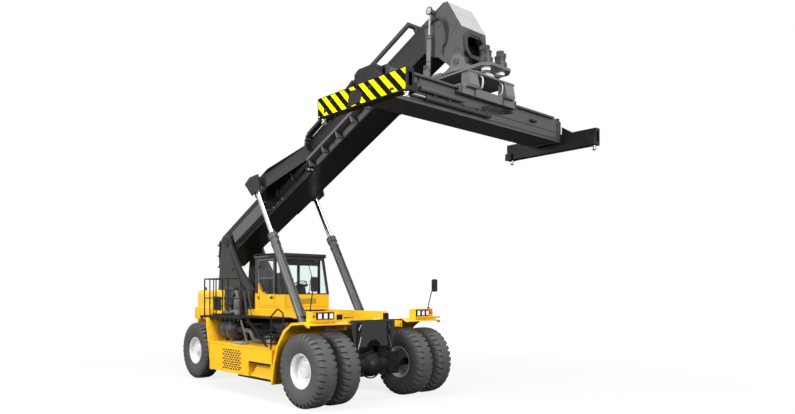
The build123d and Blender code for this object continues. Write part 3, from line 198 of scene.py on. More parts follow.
def material(name, colour, rough=0.4, dust=0.08, drift=0.08, grain=60.0, bump=0.04, metal=0.0, coat=0.0,
             colour_nodes=None, spec=0.5):
    """A finish from the shared group; colour_nodes(tree) may give an output in place of the plain colour."""
    made = bpy.data.materials.new(name)
    made.use_nodes = True
    tree = made.node_tree
    shader = tree.nodes["Principled BSDF"]
    body = fill(add(tree, "ShaderNodeGroup", node_tree=FINISH), Color=(*colour, 1), Dust=dust, Drift=drift,
                Roughness=rough, Grain_Scale=grain)
    if colour_nodes:
        plug(tree, colour_nodes(tree), body.inputs["Color"])
    plug(tree, body.outputs["Color"], shader.inputs["Base Color"])
    plug(tree, body.outputs["Roughness"], shader.inputs["Roughness"])
    raised = fill(add(tree, "ShaderNodeBump"), Strength=bump, Distance=0.01)
    plug(tree, body.outputs["Height"], raised.inputs["Height"])
    plug(tree, raised.outputs["Normal"], shader.inputs["Normal"])
    fill(shader, Metallic=metal, Coat_Weight=coat, Specular_IOR_Level=spec, Coat_Roughness=COAT_ROUGHNESS)
    return made


HAZARD_PITCH = 0.27     # along the beam from one yellow band to the next
BAND_BLACK = (0.003, 0.003, 0.003, 1)
BAND_YELLOW = (0.95, 0.90, 0.004, 1)


def hazard_colour(tree):
    """Yellow and black slanting bands, by where the surface lies across and up the end beam."""
    place = add(tree, "ShaderNodeTexCoord")
    axes = add(tree, "ShaderNodeSeparateXYZ")
    plug(tree, place.outputs["Object"], axes.inputs[0])
    run = sums(tree, "ADD", axes.outputs["X"], axes.outputs["Z"])
    turn = sums(tree, "FRACT", sums(tree, "MULTIPLY_ADD", run, 1 / HAZARD_PITCH, 0.31))
    band = sums(tree, "GREATER_THAN", turn, 0.5)
    return blend_colour(tree, band, BAND_BLACK, BAND_YELLOW)


yellow = material("yellow_paint", (0.96, 0.53, 0.018), 0.38, dust=0.03, drift=0.06, bump=0.02, coat=0.12,
                  spec=0.25)
black = material("black_paint", (0.014, 0.014, 0.015), 0.40, dust=0.03, drift=0.25, bump=0.05, spec=0.14)
charcoal = material("charcoal_paint", (0.038, 0.038, 0.039), 0.36, dust=0.06, drift=0.18, bump=0.04,
                    coat=0.05, spec=0.28)
boom_paint = material("boom_paint", (0.024, 0.024, 0.025), 0.36, dust=0.03, drift=0.15, bump=0.03, coat=0.03,
                      spec=0.22)
beam_paint = material("beam_paint", (0.062, 0.062, 0.063), 0.36, dust=0.05, drift=0.15, bump=0.03, coat=0.06,
                      spec=0.3)
barrel_paint = material("barrel_paint", (0.085, 0.085, 0.086), 0.34, dust=0.05, drift=0.12, bump=0.03,
                        coat=0.08, spec=0.3)
leg_paint = material("leg_paint", (0.13, 0.13, 0.131), 0.40, dust=0.05, drift=0.12, bump=0.03, spec=0.3)
# pale grey that paints the light falling on the nose's upper front: painted highlight
nose_highlight_paint = material("nose_painted_highlight", (0.36, 0.36, 0.355), 0.42, dust=0.04, drift=0.08, bump=0.02,
                      spec=0.3)
grey = material("grey_paint", (0.105, 0.105, 0.106), 0.40, dust=0.06, drift=0.15, bump=0.03, coat=0.05,
                spec=0.3)
pale_grey = material("pale_grey_paint", (0.52, 0.52, 0.51), 0.42, dust=0.06, drift=0.10, bump=0.03)
cast = material("cast_metal", (0.30, 0.30, 0.295), 0.55, dust=0.2, drift=0.25, grain=140, bump=0.18,
                metal=0.4)
white = material("white_paint", (0.80, 0.80, 0.79), 0.38, dust=0.05, drift=0.06, bump=0.02)
chrome = material("chrome", (0.80, 0.81, 0.82), 0.16, dust=0.0, drift=0.04, bump=0.0, metal=1.0)
rubber = material("tyre_rubber", (0.066, 0.066, 0.067), 0.66, dust=0.10, drift=0.2, grain=90, bump=0.15)
soft_black = material("moulded_plastic", (0.018, 0.018, 0.019), 0.50, dust=0.04, drift=0.1, grain=260,
                      bump=0.10, spec=0.22)
hose = material("hose_rubber", (0.014, 0.014, 0.015), 0.45, dust=0.04, drift=0.1, grain=160, bump=0.08,
                spec=0.25)
seat_cloth = material("seat_cloth", (0.05, 0.052, 0.056), 0.9, dust=0.0, drift=0.15, grain=500, bump=0.25)
steel = material("bare_steel", (0.46, 0.455, 0.44), 0.34, dust=0.1, drift=0.2, grain=180, bump=0.05,
                 metal=0.9)
blue = material("blue_pipe", (0.03, 0.10, 0.42), 0.35, dust=0.0, drift=0.08, coat=0.2)
red = material("red_reflector", (0.55, 0.02, 0.015), 0.25, dust=0.0, drift=0.05, coat=0.6)
lens = material("lamp_lens", (0.90, 0.91, 0.92), 0.12, dust=0.0, drift=0.03, coat=0.6)
hazard = material("hazard_bands", (1, 1, 1), 0.45, dust=0.0, drift=0.04, bump=0.02,
                  colour_nodes=hazard_colour, spec=0.03)
# near-black for slots, the nose's opening and the mirror faces: painted shade in the recesses, painted reflection
# on the mirrors
dark = material("painted_shade_and_reflection", (0.006, 0.006, 0.006), 0.8, dust=0.0, drift=0.1, bump=0.0)
hazard_yellow = material("hazard_yellow", (0.62, 0.42, 0.03), 0.4, dust=0.1, drift=0.1, bump=0.02)


def glass_material():
    """Clear cab glass with a faint drifting tint."""
    made = bpy.data.materials.new("cab_window")
    made.use_nodes = True
    tree = made.node_tree
    shader = tree.nodes["Principled BSDF"]
    place = add(tree, "ShaderNodeTexCoord")
    smear = noise(tree, place.outputs["Object"], 2.0, 3)
    tint = ramp(tree, smear.outputs["Fac"], [(0.3, (0.90, 0.965, 0.93, 1)), (0.8, (0.93, 0.98, 0.95, 1))])
    plug(tree, tint.outputs["Color"], shader.inputs["Base Color"])
    fill(shader, Roughness=0.02, Transmission_Weight=1.0, IOR=1.2)
    return made


window = glass_material()


# ------------------ shapes
def stand(name, data):
    """An object for that data, shown in the scene."""
    made = bpy.data.objects.new(name, data)
    bpy.context.scene.collection.objects.link(made)
    return made


def smooth_shade(mesh, smooth):
    """Smooth shading up to an angle between faces."""
    mesh.shade_smooth()
    mesh.set_sharp_from_angle(angle=math.radians(smooth))


def round_edges(made, width, segments, smooth):
    """A bevel on the edges that are sharper than an angle."""
    edge = made.modifiers.new("edges", "BEVEL")
    edge.width = width
    edge.segments = segments
    edge.limit_method = "ANGLE"
    edge.angle_limit = math.radians(smooth)
    edge.harden_normals = True


PIECE_ANGLE = 40        # edges flatter than this stay smooth on a piece
HANDS = (("right", -1), ("left", 1))
SQUARE = ((-1, -1), (1, -1), (1, 1), (-1, 1))
# a point from two distances across an axis and one along it
LAY = {"x": lambda a, b, d: (d, a, b), "y": lambda a, b, d: (a, d, b), "z": lambda a, b, d: (a, b, d)}


def turns(count, shift=0.0):
    """Even steps round a circle, in radians; shift moves them on by that share of a step."""
    return [2 * math.pi * (i + shift) / count for i in range(count)]


def span(side, near, far):
    """The low and high y of what lies between two distances out to one side."""
    return sorted((side * near, side * far))


def layer(face, out):
    """The low and high end of what lies on a face and stands that far out."""
    return sorted((face, face + out))


def band(inner, outer, low, high):
    """The section of a flat ring, for a lathe."""
    return [(low, inner), (low, outer), (high, outer), (high, inner), (low, inner)]


def about(centre, half):
    """The low and high end of what lies evenly about a middle."""
    return (centre - half, centre + half)


class Shape:
    """Collects one piece's faces; place takes them from their own directions to the frame's."""

    def __init__(self, place=None):
        self.bm = bmesh.new()
        self.place = place or Matrix.Identity(4)
        self.slot = 0

    def point(self, p):
        return self.bm.verts.new(self.place @ Vector(p))

    def face(self, verts):
        made = self.bm.faces.new(verts)
        made.material_index = self.slot
        return made

    def loft(self, rings, closed=True, ends=True):
        """Skins a list of rings of points that have the same count."""
        made = [[self.point(p) for p in ring] for ring in rings]
        count = len(rings[0])
        for low, high in zip(made, made[1:]):
            for i in range(count if closed else count - 1):
                j = (i + 1) % count
                self.face((low[i], low[j], high[j], high[i]))
        if ends:
            self.face(made[0][::-1])
            self.face(made[-1])
        return self

    def prism(self, points, low, high, axis="y"):
        """A flat outline pushed along an axis: (x, z) points for y, (x, y) for z, (y, z) for x."""
        lay = LAY[axis]
        return self.loft([[lay(p[0], p[1], end) for p in points] for end in (low, high)])

    def box(self, x, y, z):
        return self.prism([(x[0], z[0]), (x[1], z[0]), (x[1], z[1]), (x[0], z[1])], y[0], y[1])

    def hollow(self, x, y, z, wall, cap=None, axis="x"):
        """A square tube along an axis, open at both ends; cap is the wall above and below, if another."""
        tall = wall if cap is None else cap
        spans = {"x": (y, z), "y": (x, z), "z": (x, y)}[axis]
        run = {"x": x, "y": y, "z": z}[axis]
        lay = LAY[axis]

        def ring(distance, inset_a, inset_b):
            low_a, high_a = spans[0][0] + inset_a, spans[0][1] - inset_a
            low_b, high_b = spans[1][0] + inset_b, spans[1][1] - inset_b
            corners = ((low_a, low_b), (high_a, low_b), (high_a, high_b), (low_a, high_b))
            return [lay(a, b, distance) for a, b in corners]

        return self.loft([ring(run[0], 0, 0), ring(run[1], 0, 0), ring(run[1], wall, tall),
                          ring(run[0], wall, tall), ring(run[0], 0, 0)], ends=False)

    def lathe(self, profile, start, axis, sides=32, ends=True):
        """(distance, radius) pairs turned about an axis; a profile that ends where it began is a ring."""
        along = Vector(axis).normalized()
        side = along.orthogonal().normalized()
        up = along.cross(side)
        rings = []
        for distance, radius in profile:
            centre = Vector(start) + along * distance
            rings.append([centre + (side * math.cos(t) + up * math.sin(t)) * max(radius, 1e-4)
                          for t in turns(sides)])
        if profile[0] == profile[-1]:
            ends = False
        return self.loft(rings, ends=ends)

    def rod(self, start, end, radius, sides=20):
        run = Vector(end) - Vector(start)
        return self.lathe([(0, radius), (run.length, radius)], start, run, sides)

    def hose(self, points, radius, detail=3, steps=6):
        """A round tube on one smooth NURBS curve through the points' own polygon, closed at both ends."""
        curve = bpy.data.curves.new("run", "CURVE")
        curve.dimensions = "3D"
        curve.bevel_depth = radius
        curve.bevel_resolution = detail
        curve.resolution_u = steps
        curve.use_fill_caps = True
        spline = curve.splines.new("NURBS")
        spline.points.add(len(points) - 1)
        for point, at in zip(spline.points, points):
            point.co = (*(self.place @ Vector(at)), 1)
        spline.order_u = 3
        spline.use_endpoint_u = True
        holder = stand("run", curve)
        bpy.context.view_layer.update()
        mesh = bpy.data.meshes.new_from_object(holder.evaluated_get(bpy.context.evaluated_depsgraph_get()))
        before = len(self.bm.faces)
        self.bm.from_mesh(mesh)
        self.bm.faces.ensure_lookup_table()
        for face in self.bm.faces[before:]:
            face.material_index = self.slot
        bpy.data.objects.remove(holder)
        bpy.data.curves.remove(curve)
        bpy.data.meshes.remove(mesh)
        return self

    def pipe(self, points, radius, bend):
        """A rigid tube whose runs stay straight and turn through bends of about that size."""
        points = [Vector(p) for p in points]
        path = [points[0]]
        for back_point, here, ahead in zip(points, points[1:], points[2:]):
            reach = min(bend, (here - back_point).length / 2.2, (ahead - here).length / 2.2)
            path += [here + (back_point - here).normalized() * reach, here,
                     here + (ahead - here).normalized() * reach]
        return self.hose(path + [points[-1]], radius, steps=4)

    def piece(self, name, body, slot, *mats, bevel=0.0, smooth=PIECE_ANGLE, segments=2):
        """Turns the faces into an object that rides on a body."""
        bmesh.ops.remove_doubles(self.bm, verts=self.bm.verts, dist=1e-5)
        bmesh.ops.recalc_face_normals(self.bm, faces=self.bm.faces)
        mesh = bpy.data.meshes.new(name)
        self.bm.to_mesh(mesh)
        self.bm.free()
        for each in mats:
            mesh.materials.append(each)
        smooth_shade(mesh, smooth)
        made = stand(name, mesh)
        if bevel:
            round_edges(made, bevel, segments, smooth)
        if body:
            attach(made, body)
        return made


def copies_tree():
    """Geometry nodes: one copy of a piece on each point, by the point's own turn."""
    tree = bpy.data.node_groups.new("copies_on_points", "GeometryNodeTree")
    for label, kind in (("Points", "NodeSocketGeometry"), ("Piece", "NodeSocketObject"),
                        ("Size", "NodeSocketFloat"), ("Finish", "NodeSocketMaterial")):
        socket(tree, label, kind)
    socket(tree, "Copies", "NodeSocketGeometry", "OUTPUT")
    start, end = tree.nodes.new("NodeGroupInput"), tree.nodes.new("NodeGroupOutput")
    info = add(tree, "GeometryNodeObjectInfo", transform_space="ORIGINAL")
    plug(tree, start.outputs["Piece"], info.inputs["Object"])
    facing = add(tree, "GeometryNodeInputNamedAttribute", data_type="QUATERNION")
    fill(facing, Name="turn")
    put = add(tree, "GeometryNodeInstanceOnPoints")
    plug(tree, start.outputs["Points"], put.inputs["Points"])
    plug(tree, info.outputs["Geometry"], put.inputs["Instance"])
    plug(tree, facing.outputs["Attribute"], put.inputs["Rotation"])
    plug(tree, start.outputs["Size"], put.inputs["Scale"])
    real = add(tree, "GeometryNodeRealizeInstances")
    plug(tree, put.outputs["Instances"], real.inputs[0])
    finish = add(tree, "GeometryNodeSetMaterial")
    plug(tree, real.outputs[0], finish.inputs["Geometry"])
    plug(tree, start.outputs["Finish"], finish.inputs["Material"])
    plug(tree, finish.outputs[0], end.inputs["Copies"])
    return tree


COPIES = copies_tree()


def copies(name, pattern, spots, body, finish, size=1.0):
    """Puts a pattern shape on each spot, a (point, direction) pair or a full matrix, as one plain mesh."""
    mesh = bpy.data.meshes.new(name)
    facings, points = [], []
    for spot in spots:
        if isinstance(spot, Matrix):
            points.append(spot.to_translation())
            facings.append(spot.to_quaternion())
        else:
            points.append(Vector(spot[0]))
            facings.append(Vector(spot[1]).to_track_quat("Z", "Y"))
    mesh.from_pydata(points, [], [])
    store = mesh.attributes.new("turn", "QUATERNION", "POINT")
    for value, facing in zip(store.data, facings):
        value.value = facing
    made = stand(name, mesh)
    unit = pattern.piece(name + "_unit", None, None, finish)
    maker = made.modifiers.new("copies", "NODES")
    maker.node_group = COPIES
    inputs = {item.name: item.identifier for item in COPIES.interface.items_tree if item.in_out == "INPUT"}
    maker[inputs["Piece"]] = unit
    maker[inputs["Size"]] = size
    maker[inputs["Finish"]] = finish
    bpy.context.view_layer.update()
    graph = bpy.context.evaluated_depsgraph_get()
    plain = bpy.data.meshes.new_from_object(made.evaluated_get(graph))
    made.modifiers.remove(maker)
    made.data = plain
    plain.name = name
    if "turn" in plain.attributes:
        plain.attributes.remove(plain.attributes["turn"])
    plain.set_sharp_from_angle(angle=math.radians(PIECE_ANGLE))
    bpy.data.objects.remove(unit)
    bpy.data.meshes.remove(mesh)
    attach(made, body)
    return made


def bolt(radius=0.016, height=0.012):
    """A hexagon head on a washer, standing on z = 0."""
    shape = Shape()
    shape.lathe([(0, radius * 1.35), (height * 0.2, radius * 1.35)], (0, 0, 0), (0, 0, 1), 12)
    shape.lathe([(height * 0.2, radius), (height * 0.85, radius), (height, radius * 0.8)], (0, 0, 0),
                (0, 0, 1), 6)
    return shape


def dress(node, finish):
    """Gives a CAD node its finish."""
    for slot in frame["nodes"][node].material_slots:
        slot.material = finish


BODY_OF = {node: body for body, nodes in frame["record"]["behaviour"]["bodies"].items() for node in nodes}


EASED_ANGLE = 28        # edges flatter than this stay smooth on a CAD node's copy


def eased(node, width, *finishes, choose=None, cuts=()):
    """A copy of a CAD node with rounded edges, which stands for it; choose(face) picks a face's finish."""
    bm = bmesh.new()
    bm.from_mesh(frame["nodes"][node].data)
    bmesh.ops.remove_doubles(bm, verts=bm.verts, dist=3e-5)
    bmesh.ops.dissolve_limit(bm, angle_limit=math.radians(0.6), verts=bm.verts, edges=bm.edges)
    for point, normal in cuts:
        bmesh.ops.bisect_plane(bm, geom=bm.verts[:] + bm.edges[:] + bm.faces[:], plane_co=point,
                               plane_no=normal)
    for face in bm.faces:
        face.material_index = choose(face) if choose else 0
    mesh = bpy.data.meshes.new(node + "_eased")
    bm.to_mesh(mesh)
    bm.free()
    for each in finishes:
        mesh.materials.append(each)
    smooth_shade(mesh, EASED_ANGLE)
    made = stand(node + "_eased", mesh)
    round_edges(made, width, 2, EASED_ANGLE)
    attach(made, BODY_OF[node])
    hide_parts(node)
    return made


def back(distance):
    """The x of a place that is so many metres behind the drive axle."""
    return DX - distance


# ------------------ wheels
LUGS = 34
LUG_STEP = 2 * math.pi / LUGS
GROOVE = 0.052
# across the tyre from its outer side: (distance from the middle, radius, share of the groove's depth)
TYRE_SIDE = [(0.196, 0.400, 0), (0.214, 0.425, 0), (0.222, 0.470, 0), (0.240, 0.540, 0), (0.2495, 0.620, 0),
             (0.2495, 0.690, 0.0), (0.246, 0.728, 0.15), (0.239, 0.762, 0.75), (0.222, 0.806, 1),
             (0.190, 0.834, 1), (0.150, 0.8415, 1), (0.112, 0.8435, 1), (0.090, 0.844, 0.0),
             (0.045, 0.845, 0), (0.0, 0.845, 0)]
TYRE_ACROSS = TYRE_SIDE + [(-y, r, share) for y, r, share in TYRE_SIDE[-2::-1]]
GROOVE_EDGES = ((-0.5, 0), (-0.19, 0), (-0.15, 1), (0.15, 1), (0.19, 0))


def build_tyre(shape, x, y):
    """A tyre with narrow grooves that run in from both shoulders, leaning forward towards the middle."""
    rings = []
    for lug in range(LUGS):
        for turn, depth in GROOVE_EDGES:
            ring = []
            for across, radius, share in TYRE_ACROSS:
                lean = 0.30 * LUG_STEP * max(0.0, 1 - abs(across) / 0.25)
                angle = (lug + turn) * LUG_STEP + lean
                reach = radius - GROOVE * share * depth
                ring.append((x + reach * math.cos(angle), y + across, AXLE_Z - reach * math.sin(angle)))
            rings.append(ring)
    rings.append(rings[0])
    shape.loft(rings, closed=False, ends=False)
    # inside of the tread and beads, so that the tyre is closed
    shape.lathe([(-0.196, 0.400), (0.196, 0.400)], (x, y, AXLE_Z), (0, 1, 0), 64, ends=False)
    # raised lines round the sidewalls
    for side in (-1, 1):
        for face, radius, reach in ((0.2485, 0.655, 0.0015), (0.2225, 0.475, 0.002)):
            shape.lathe([(face - 0.004, radius - 0.012), (face + reach - 0.0008, radius - 0.004),
                         (face + reach - 0.0008, radius + 0.004), (face - 0.004, radius + 0.012)],
                        (x, y, AXLE_Z), (0, side, 0), 72, ends=False)


def build_tyres():
    for hand, side in HANDS:
        shape = Shape()
        for y in DUALS:
            build_tyre(shape, DX, side * y)
        made = shape.piece(f"drive_tread_{hand}", f"drive_wheel_{hand}", "tyre_rubber", rubber, smooth=32)
        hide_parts(f"drive_tyres_{hand}")
        shape = Shape()
        build_tyre(shape, SX, side * STEER_Y)
        made = shape.piece(f"steer_tread_{hand}", f"steer_wheel_{hand}", "tyre_rubber", rubber, smooth=32)
        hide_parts(f"steer_tyre_{hand}")


# outer face of a rim, from its lip inwards: (distance out from the middle of the tyre, radius)
RIM_SHELL = [(0.196, 0.3995), (0.204, 0.3990), (0.205, 0.386), (0.196, 0.378), (0.176, 0.372), (0.168, 0.352),
             (0.150, 0.344)]


def build_rim(shape, x, y, side, dish, hub):
    """A rim with a dished disc that stands dish out from the middle, and a hub of that radius."""
    profile = [(-out, radius) for out, radius in RIM_SHELL[:6]]
    profile += [(dish - 0.030, 0.340), (dish - 0.022, 0.250), (dish - 0.020, hub)]
    front = [(dish + 0.012, hub), (dish + 0.012, 0.205), (dish + 0.004, 0.222), (dish + 0.004, 0.262),
             (dish + 0.020, 0.285), (dish + 0.034, 0.322), (dish + 0.060, 0.338)] + RIM_SHELL[::-1]
    shape.lathe(profile + front + [profile[0]], (x, y, AXLE_Z), (0, side, 0), 72, ends=False)


def wheel_bolts(name, x, y, side, count, radius, body, finish, size=1.0):
    """A ring of bolts of that radius on a wheel's outer side."""
    spots = [((x + radius * math.cos(t), y, AXLE_Z + radius * math.sin(t)), (0, side, 0))
             for t in turns(count, 0.5)]
    return copies(name, bolt(0.017, 0.026), spots, body, finish, size)


def build_rims():
    for hand, side in HANDS:
        body = f"drive_wheel_{hand}"
        shape = Shape()
        build_rim(shape, DX, side * DUALS[1], side, 0.02, 0.17)
        made = shape.piece(f"outer_rim_{hand}", body, "rim_white", white, smooth=35)
        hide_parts(f"drive_rims_{hand}")
        shape = Shape()
        build_rim(shape, DX, side * DUALS[0], -side, -0.15, 0.20)
        shape.lathe([(0.13, 0.300), (0.17, 0.300), (0.19, 0.292), (0.66, 0.292), (0.68, 0.17)],
                    (DX, side * DUALS[0], AXLE_Z), (0, side, 0), 64)
        shape.piece(f"inner_rim_{hand}", body, "rim_white", pale_grey, smooth=35)
        # planetary hub inside the dish
        shape = Shape()
        shape.lathe([(-0.02, 0.192), (0.040, 0.190), (0.046, 0.184), (0.050, 0.160), (0.098, 0.148),
                     (0.106, 0.140), (0.108, 0.062), (0.118, 0.058), (0.120, 0.0)],
                    (DX, side * DUALS[1], AXLE_Z), (0, side, 0), 48)
        shape.piece(f"planet_hub_{hand}", body, "rim_white", white, smooth=35)
        wheel_bolts(f"wheel_nuts_{hand}", DX, side * (DUALS[1] + 0.024), side, 20, 0.236, body, white)
        wheel_bolts(f"hub_bolts_{hand}", DX, side * (DUALS[1] + 0.105), side, 10, 0.112, body, pale_grey,
                    0.55)
        body = f"steer_wheel_{hand}"
        shape = Shape()
        build_rim(shape, SX, side * STEER_Y, side, 0.04, 0.15)
        made = shape.piece(f"steer_rim_shell_{hand}", body, "rim_white", white, smooth=35)
        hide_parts(f"steer_rim_{hand}")
        shape = Shape()
        shape.lathe([(0.0, 0.172), (0.075, 0.170), (0.085, 0.160), (0.090, 0.135), (0.140, 0.122),
                     (0.158, 0.108), (0.164, 0.060), (0.168, 0.0)], (SX, side * STEER_Y, AXLE_Z),
                    (0, side, 0), 48)
        shape.piece(f"steer_hub_{hand}", body, "rim_white", white, smooth=35)
        wheel_bolts(f"steer_nuts_{hand}", SX, side * (STEER_Y + 0.044), side, 18, 0.228, body, pale_grey)
        wheel_bolts(f"steer_hub_bolts_{hand}", SX, side * (STEER_Y + 0.155), side, 8, 0.085, body, pale_grey,
                    0.6)


build_tyres()
build_rims()


# ------------------ plates and boxes as in CAD
def build_plain_pieces():
    """CAD nodes that only need rounded edges and a finish."""
    for node, width, finish in (("chassis_frame", 0.006, charcoal), ("frame_neck", 0.006, charcoal),
                                ("tow_block", 0.012, yellow), ("tow_jaw", 0.006, charcoal),
                                ("boom_tower", 0.008, charcoal), ("counterweight", 0.022, yellow),
                                ("front_fenders", 0.004, yellow), ("side_boxes", 0.005, yellow),
                                ("boarding_steps", 0.004, black), ("wheel_guards", 0.006, yellow),
                                ("walkways", 0.006, black), ("fluid_tanks", 0.03, charcoal),
                                ("cab_rails", 0.008, yellow), ("steer_axle", 0.008, cast),
                                ("knuckle_left", 0.006, cast), ("knuckle_right", 0.006, cast),
                                ("boom_outer", 0.010, boom_paint), ("boom_wings", 0.006, boom_paint),
                                ("boom_inner", 0.010, boom_paint), ("chain_tray", 0.003, grey),
                                ("hose_duct", 0.003, grey), ("chain_carrier", 0.004, charcoal),
                                ("slew_frame", 0.006, grey), ("slew_head", 0.006, grey),
                                ("spreader_beam", 0.008, beam_paint), ("boom_nose", 0.006, beam_paint),
                                ("engine_hood", 0.05, yellow)):
        eased(node, width, finish)


build_plain_pieces()


# ------------------ spreader: end beams, twistlocks and rails
BEAM_TOP = HZ - 0.70
BEAM_LOW = BEAM_TOP - 0.52
BEAM_HALF = 0.36
BEAM_FACE = HX + BEAM_HALF
END_LOW = BEAM_LOW - 0.165
END_TOP = END_LOW + 0.37
END_IN, END_OUT = 2.84, 3.02
END_HALF = 1.219
LOCK_X, LOCK_Y = END_HALF - 0.0895, END_OUT - 0.0935
FACE_BACK = 0.009       # the outer face lies this far inside the frame's width
BAND_PROUD, FITTING_PROUD = 0.0055, 0.0085


def build_end_beam(hand, side):
    """The telescopic arm, and its end beam with open ends, corner housings and slanting bands outside."""
    body = f"arm_{hand}"
    near, far = side * END_IN, side * (END_OUT - FACE_BACK)
    shape = Shape()
    # hollow end beam, and its end plates with a smaller hole
    shape.hollow((HX - END_HALF + 0.012, HX + END_HALF - 0.012), sorted((near, far)), (END_LOW, END_TOP),
                 0.014)
    for end in (-1, 1):
        x = sorted((HX + end * (END_HALF - 0.012), HX + end * END_HALF))
        shape.hollow(x, sorted((near, far)), (END_LOW, END_TOP), 0.045, 0.075)
        # corner housing over each twistlock
        centre = HX + end * LOCK_X
        shape.box(about(centre, 0.089), span(side, LOCK_Y - 0.16, LOCK_Y - 0.087),
                  (END_LOW - 0.012, END_LOW + 0.15))
        shape.box(about(centre, 0.089), sorted((side * (LOCK_Y - 0.16), far)),
                  (END_LOW - 0.012, END_LOW - 0.0005))
        # slanting gusset from the housing to the beam
        shape.prism([(centre - end * 0.11, END_LOW), (centre - end * 0.42, END_LOW),
                     (centre - end * 0.16, END_LOW + 0.30), (centre - end * 0.11, END_LOW + 0.30)],
                    *sorted((near - side * 0.016, near)))
    # arm tube, and the stepped head that joins it to the end beam
    lane = HX + side * (BEAM_HALF / 2 - 0.006)
    low = BEAM_LOW + 0.0303
    shape.slot = 1
    shape.hollow(about(lane, 0.15), sorted((-side * 2.55, side * 2.84)), (low, low + 0.42), 0.015, axis="y")
    shape.slot = 0
    head = [(-0.33, low - 0.02), (0.33, low - 0.02), (0.33, BEAM_TOP - 0.03), (0.22, BEAM_TOP + 0.04),
            (-0.22, BEAM_TOP + 0.04), (-0.33, BEAM_TOP - 0.03)]
    shape.prism([(HX + x, z) for x, z in head], *span(side, 2.76, 2.84))
    for x in (-0.30, 0.30):
        shape.prism([(HX + x - 0.02, low), (HX + x + 0.02, low), (HX + x + 0.02, BEAM_TOP - 0.05),
                     (HX + x - 0.02, BEAM_TOP - 0.05)], *span(side, 2.72, 2.77))
    # sloping shoulders on top of the end beam, down from the head
    for end in (-1, 1):
        shape.prism([(HX + end * 0.33, END_TOP), (HX + end * 0.62, END_TOP),
                     (HX + end * 0.33, END_TOP + 0.18)], *span(side, END_IN + 0.03, END_IN + 0.06))
    made = shape.piece(f"end_beam_{hand}", body, "boom_grey", black, grey, bevel=0.005, smooth=30)
    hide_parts(f"spreader_arm_{hand}")
    # bands on the outer face, and yellow dashes under the inner edge
    shape = Shape()
    shape.box((HX - END_HALF + 0.03, HX + END_HALF - 0.03), layer(far, side * BAND_PROUD),
              (END_LOW + 0.012, END_TOP - 0.012))
    shape.piece(f"bands_{hand}", body, "boom_grey", hazard)
    dash = Shape()
    dash.box((-0.075, 0.075), (-0.018, 0.018), (0.0, 0.003))
    spots = [Matrix.Translation((HX - 0.86 + 0.215 * i, near + side * 0.022, END_LOW - 0.0032))
             for i in range(9)]
    copies(f"edge_dashes_{hand}", dash, spots, body, hazard_yellow)
    # cleats and a latch plate on the outer face
    shape = Shape()
    for x, z, wide, high in ((-0.98, 0.06, 0.10, 0.07), (-0.80, 0.22, 0.07, 0.06), (0.30, 0.20, 0.08, 0.07),
                             (0.86, 0.04, 0.12, 0.05)):
        shape.prism([(HX + x - wide / 2, END_LOW + z), (HX + x + wide / 2, END_LOW + z + 0.02),
                     (HX + x + wide / 2, END_LOW + z + high), (HX + x - wide / 4, END_LOW + z + high + 0.02)],
                    *layer(far, side * FITTING_PROUD))
    shape.prism([(HX - 0.30, END_LOW + 0.05), (HX - 0.20, END_LOW + 0.02), (HX + 0.06, END_LOW + 0.06),
                 (HX + 0.10, END_LOW + 0.18), (HX - 0.02, END_LOW + 0.29), (HX - 0.20, END_LOW + 0.30),
                 (HX - 0.28, END_LOW + 0.20)], *layer(far, side * FITTING_PROUD))
    shape.piece(f"end_fittings_{hand}", body, "boom_grey", black, bevel=0.003)
    # twistlocks
    shape = Shape()
    for end in (-1, 1):
        start = (HX + end * LOCK_X, side * LOCK_Y, END_LOW - 0.012)
        shape.lathe([(0, 0.052), (0.018, 0.050), (0.020, 0.031), (0.062, 0.031)], start, (0, 0, -1), 24)
        cone = ((0.026, 0.052, 0.072), (0.026, 0.052, 0.092), (0.020, 0.034, 0.110), (0.012, 0.016, 0.120))
        shape.loft([[(start[0] + sx * wide, start[1] + sy * deep, END_LOW - down) for sx, sy in SQUARE]
                    for wide, deep, down in cone])
    shape.piece(f"twistlocks_{hand}", body, "boom_grey", steel, bevel=0.004)
    spots = [((HX + x, far + side * 0.0025, END_LOW + z), (0, side, 0)) for x in (-1.16, 1.16)
             for z in (0.06, 0.31)]
    copies(f"end_bolts_{hand}", bolt(0.014, 0.006), spots, body, black, 0.6)


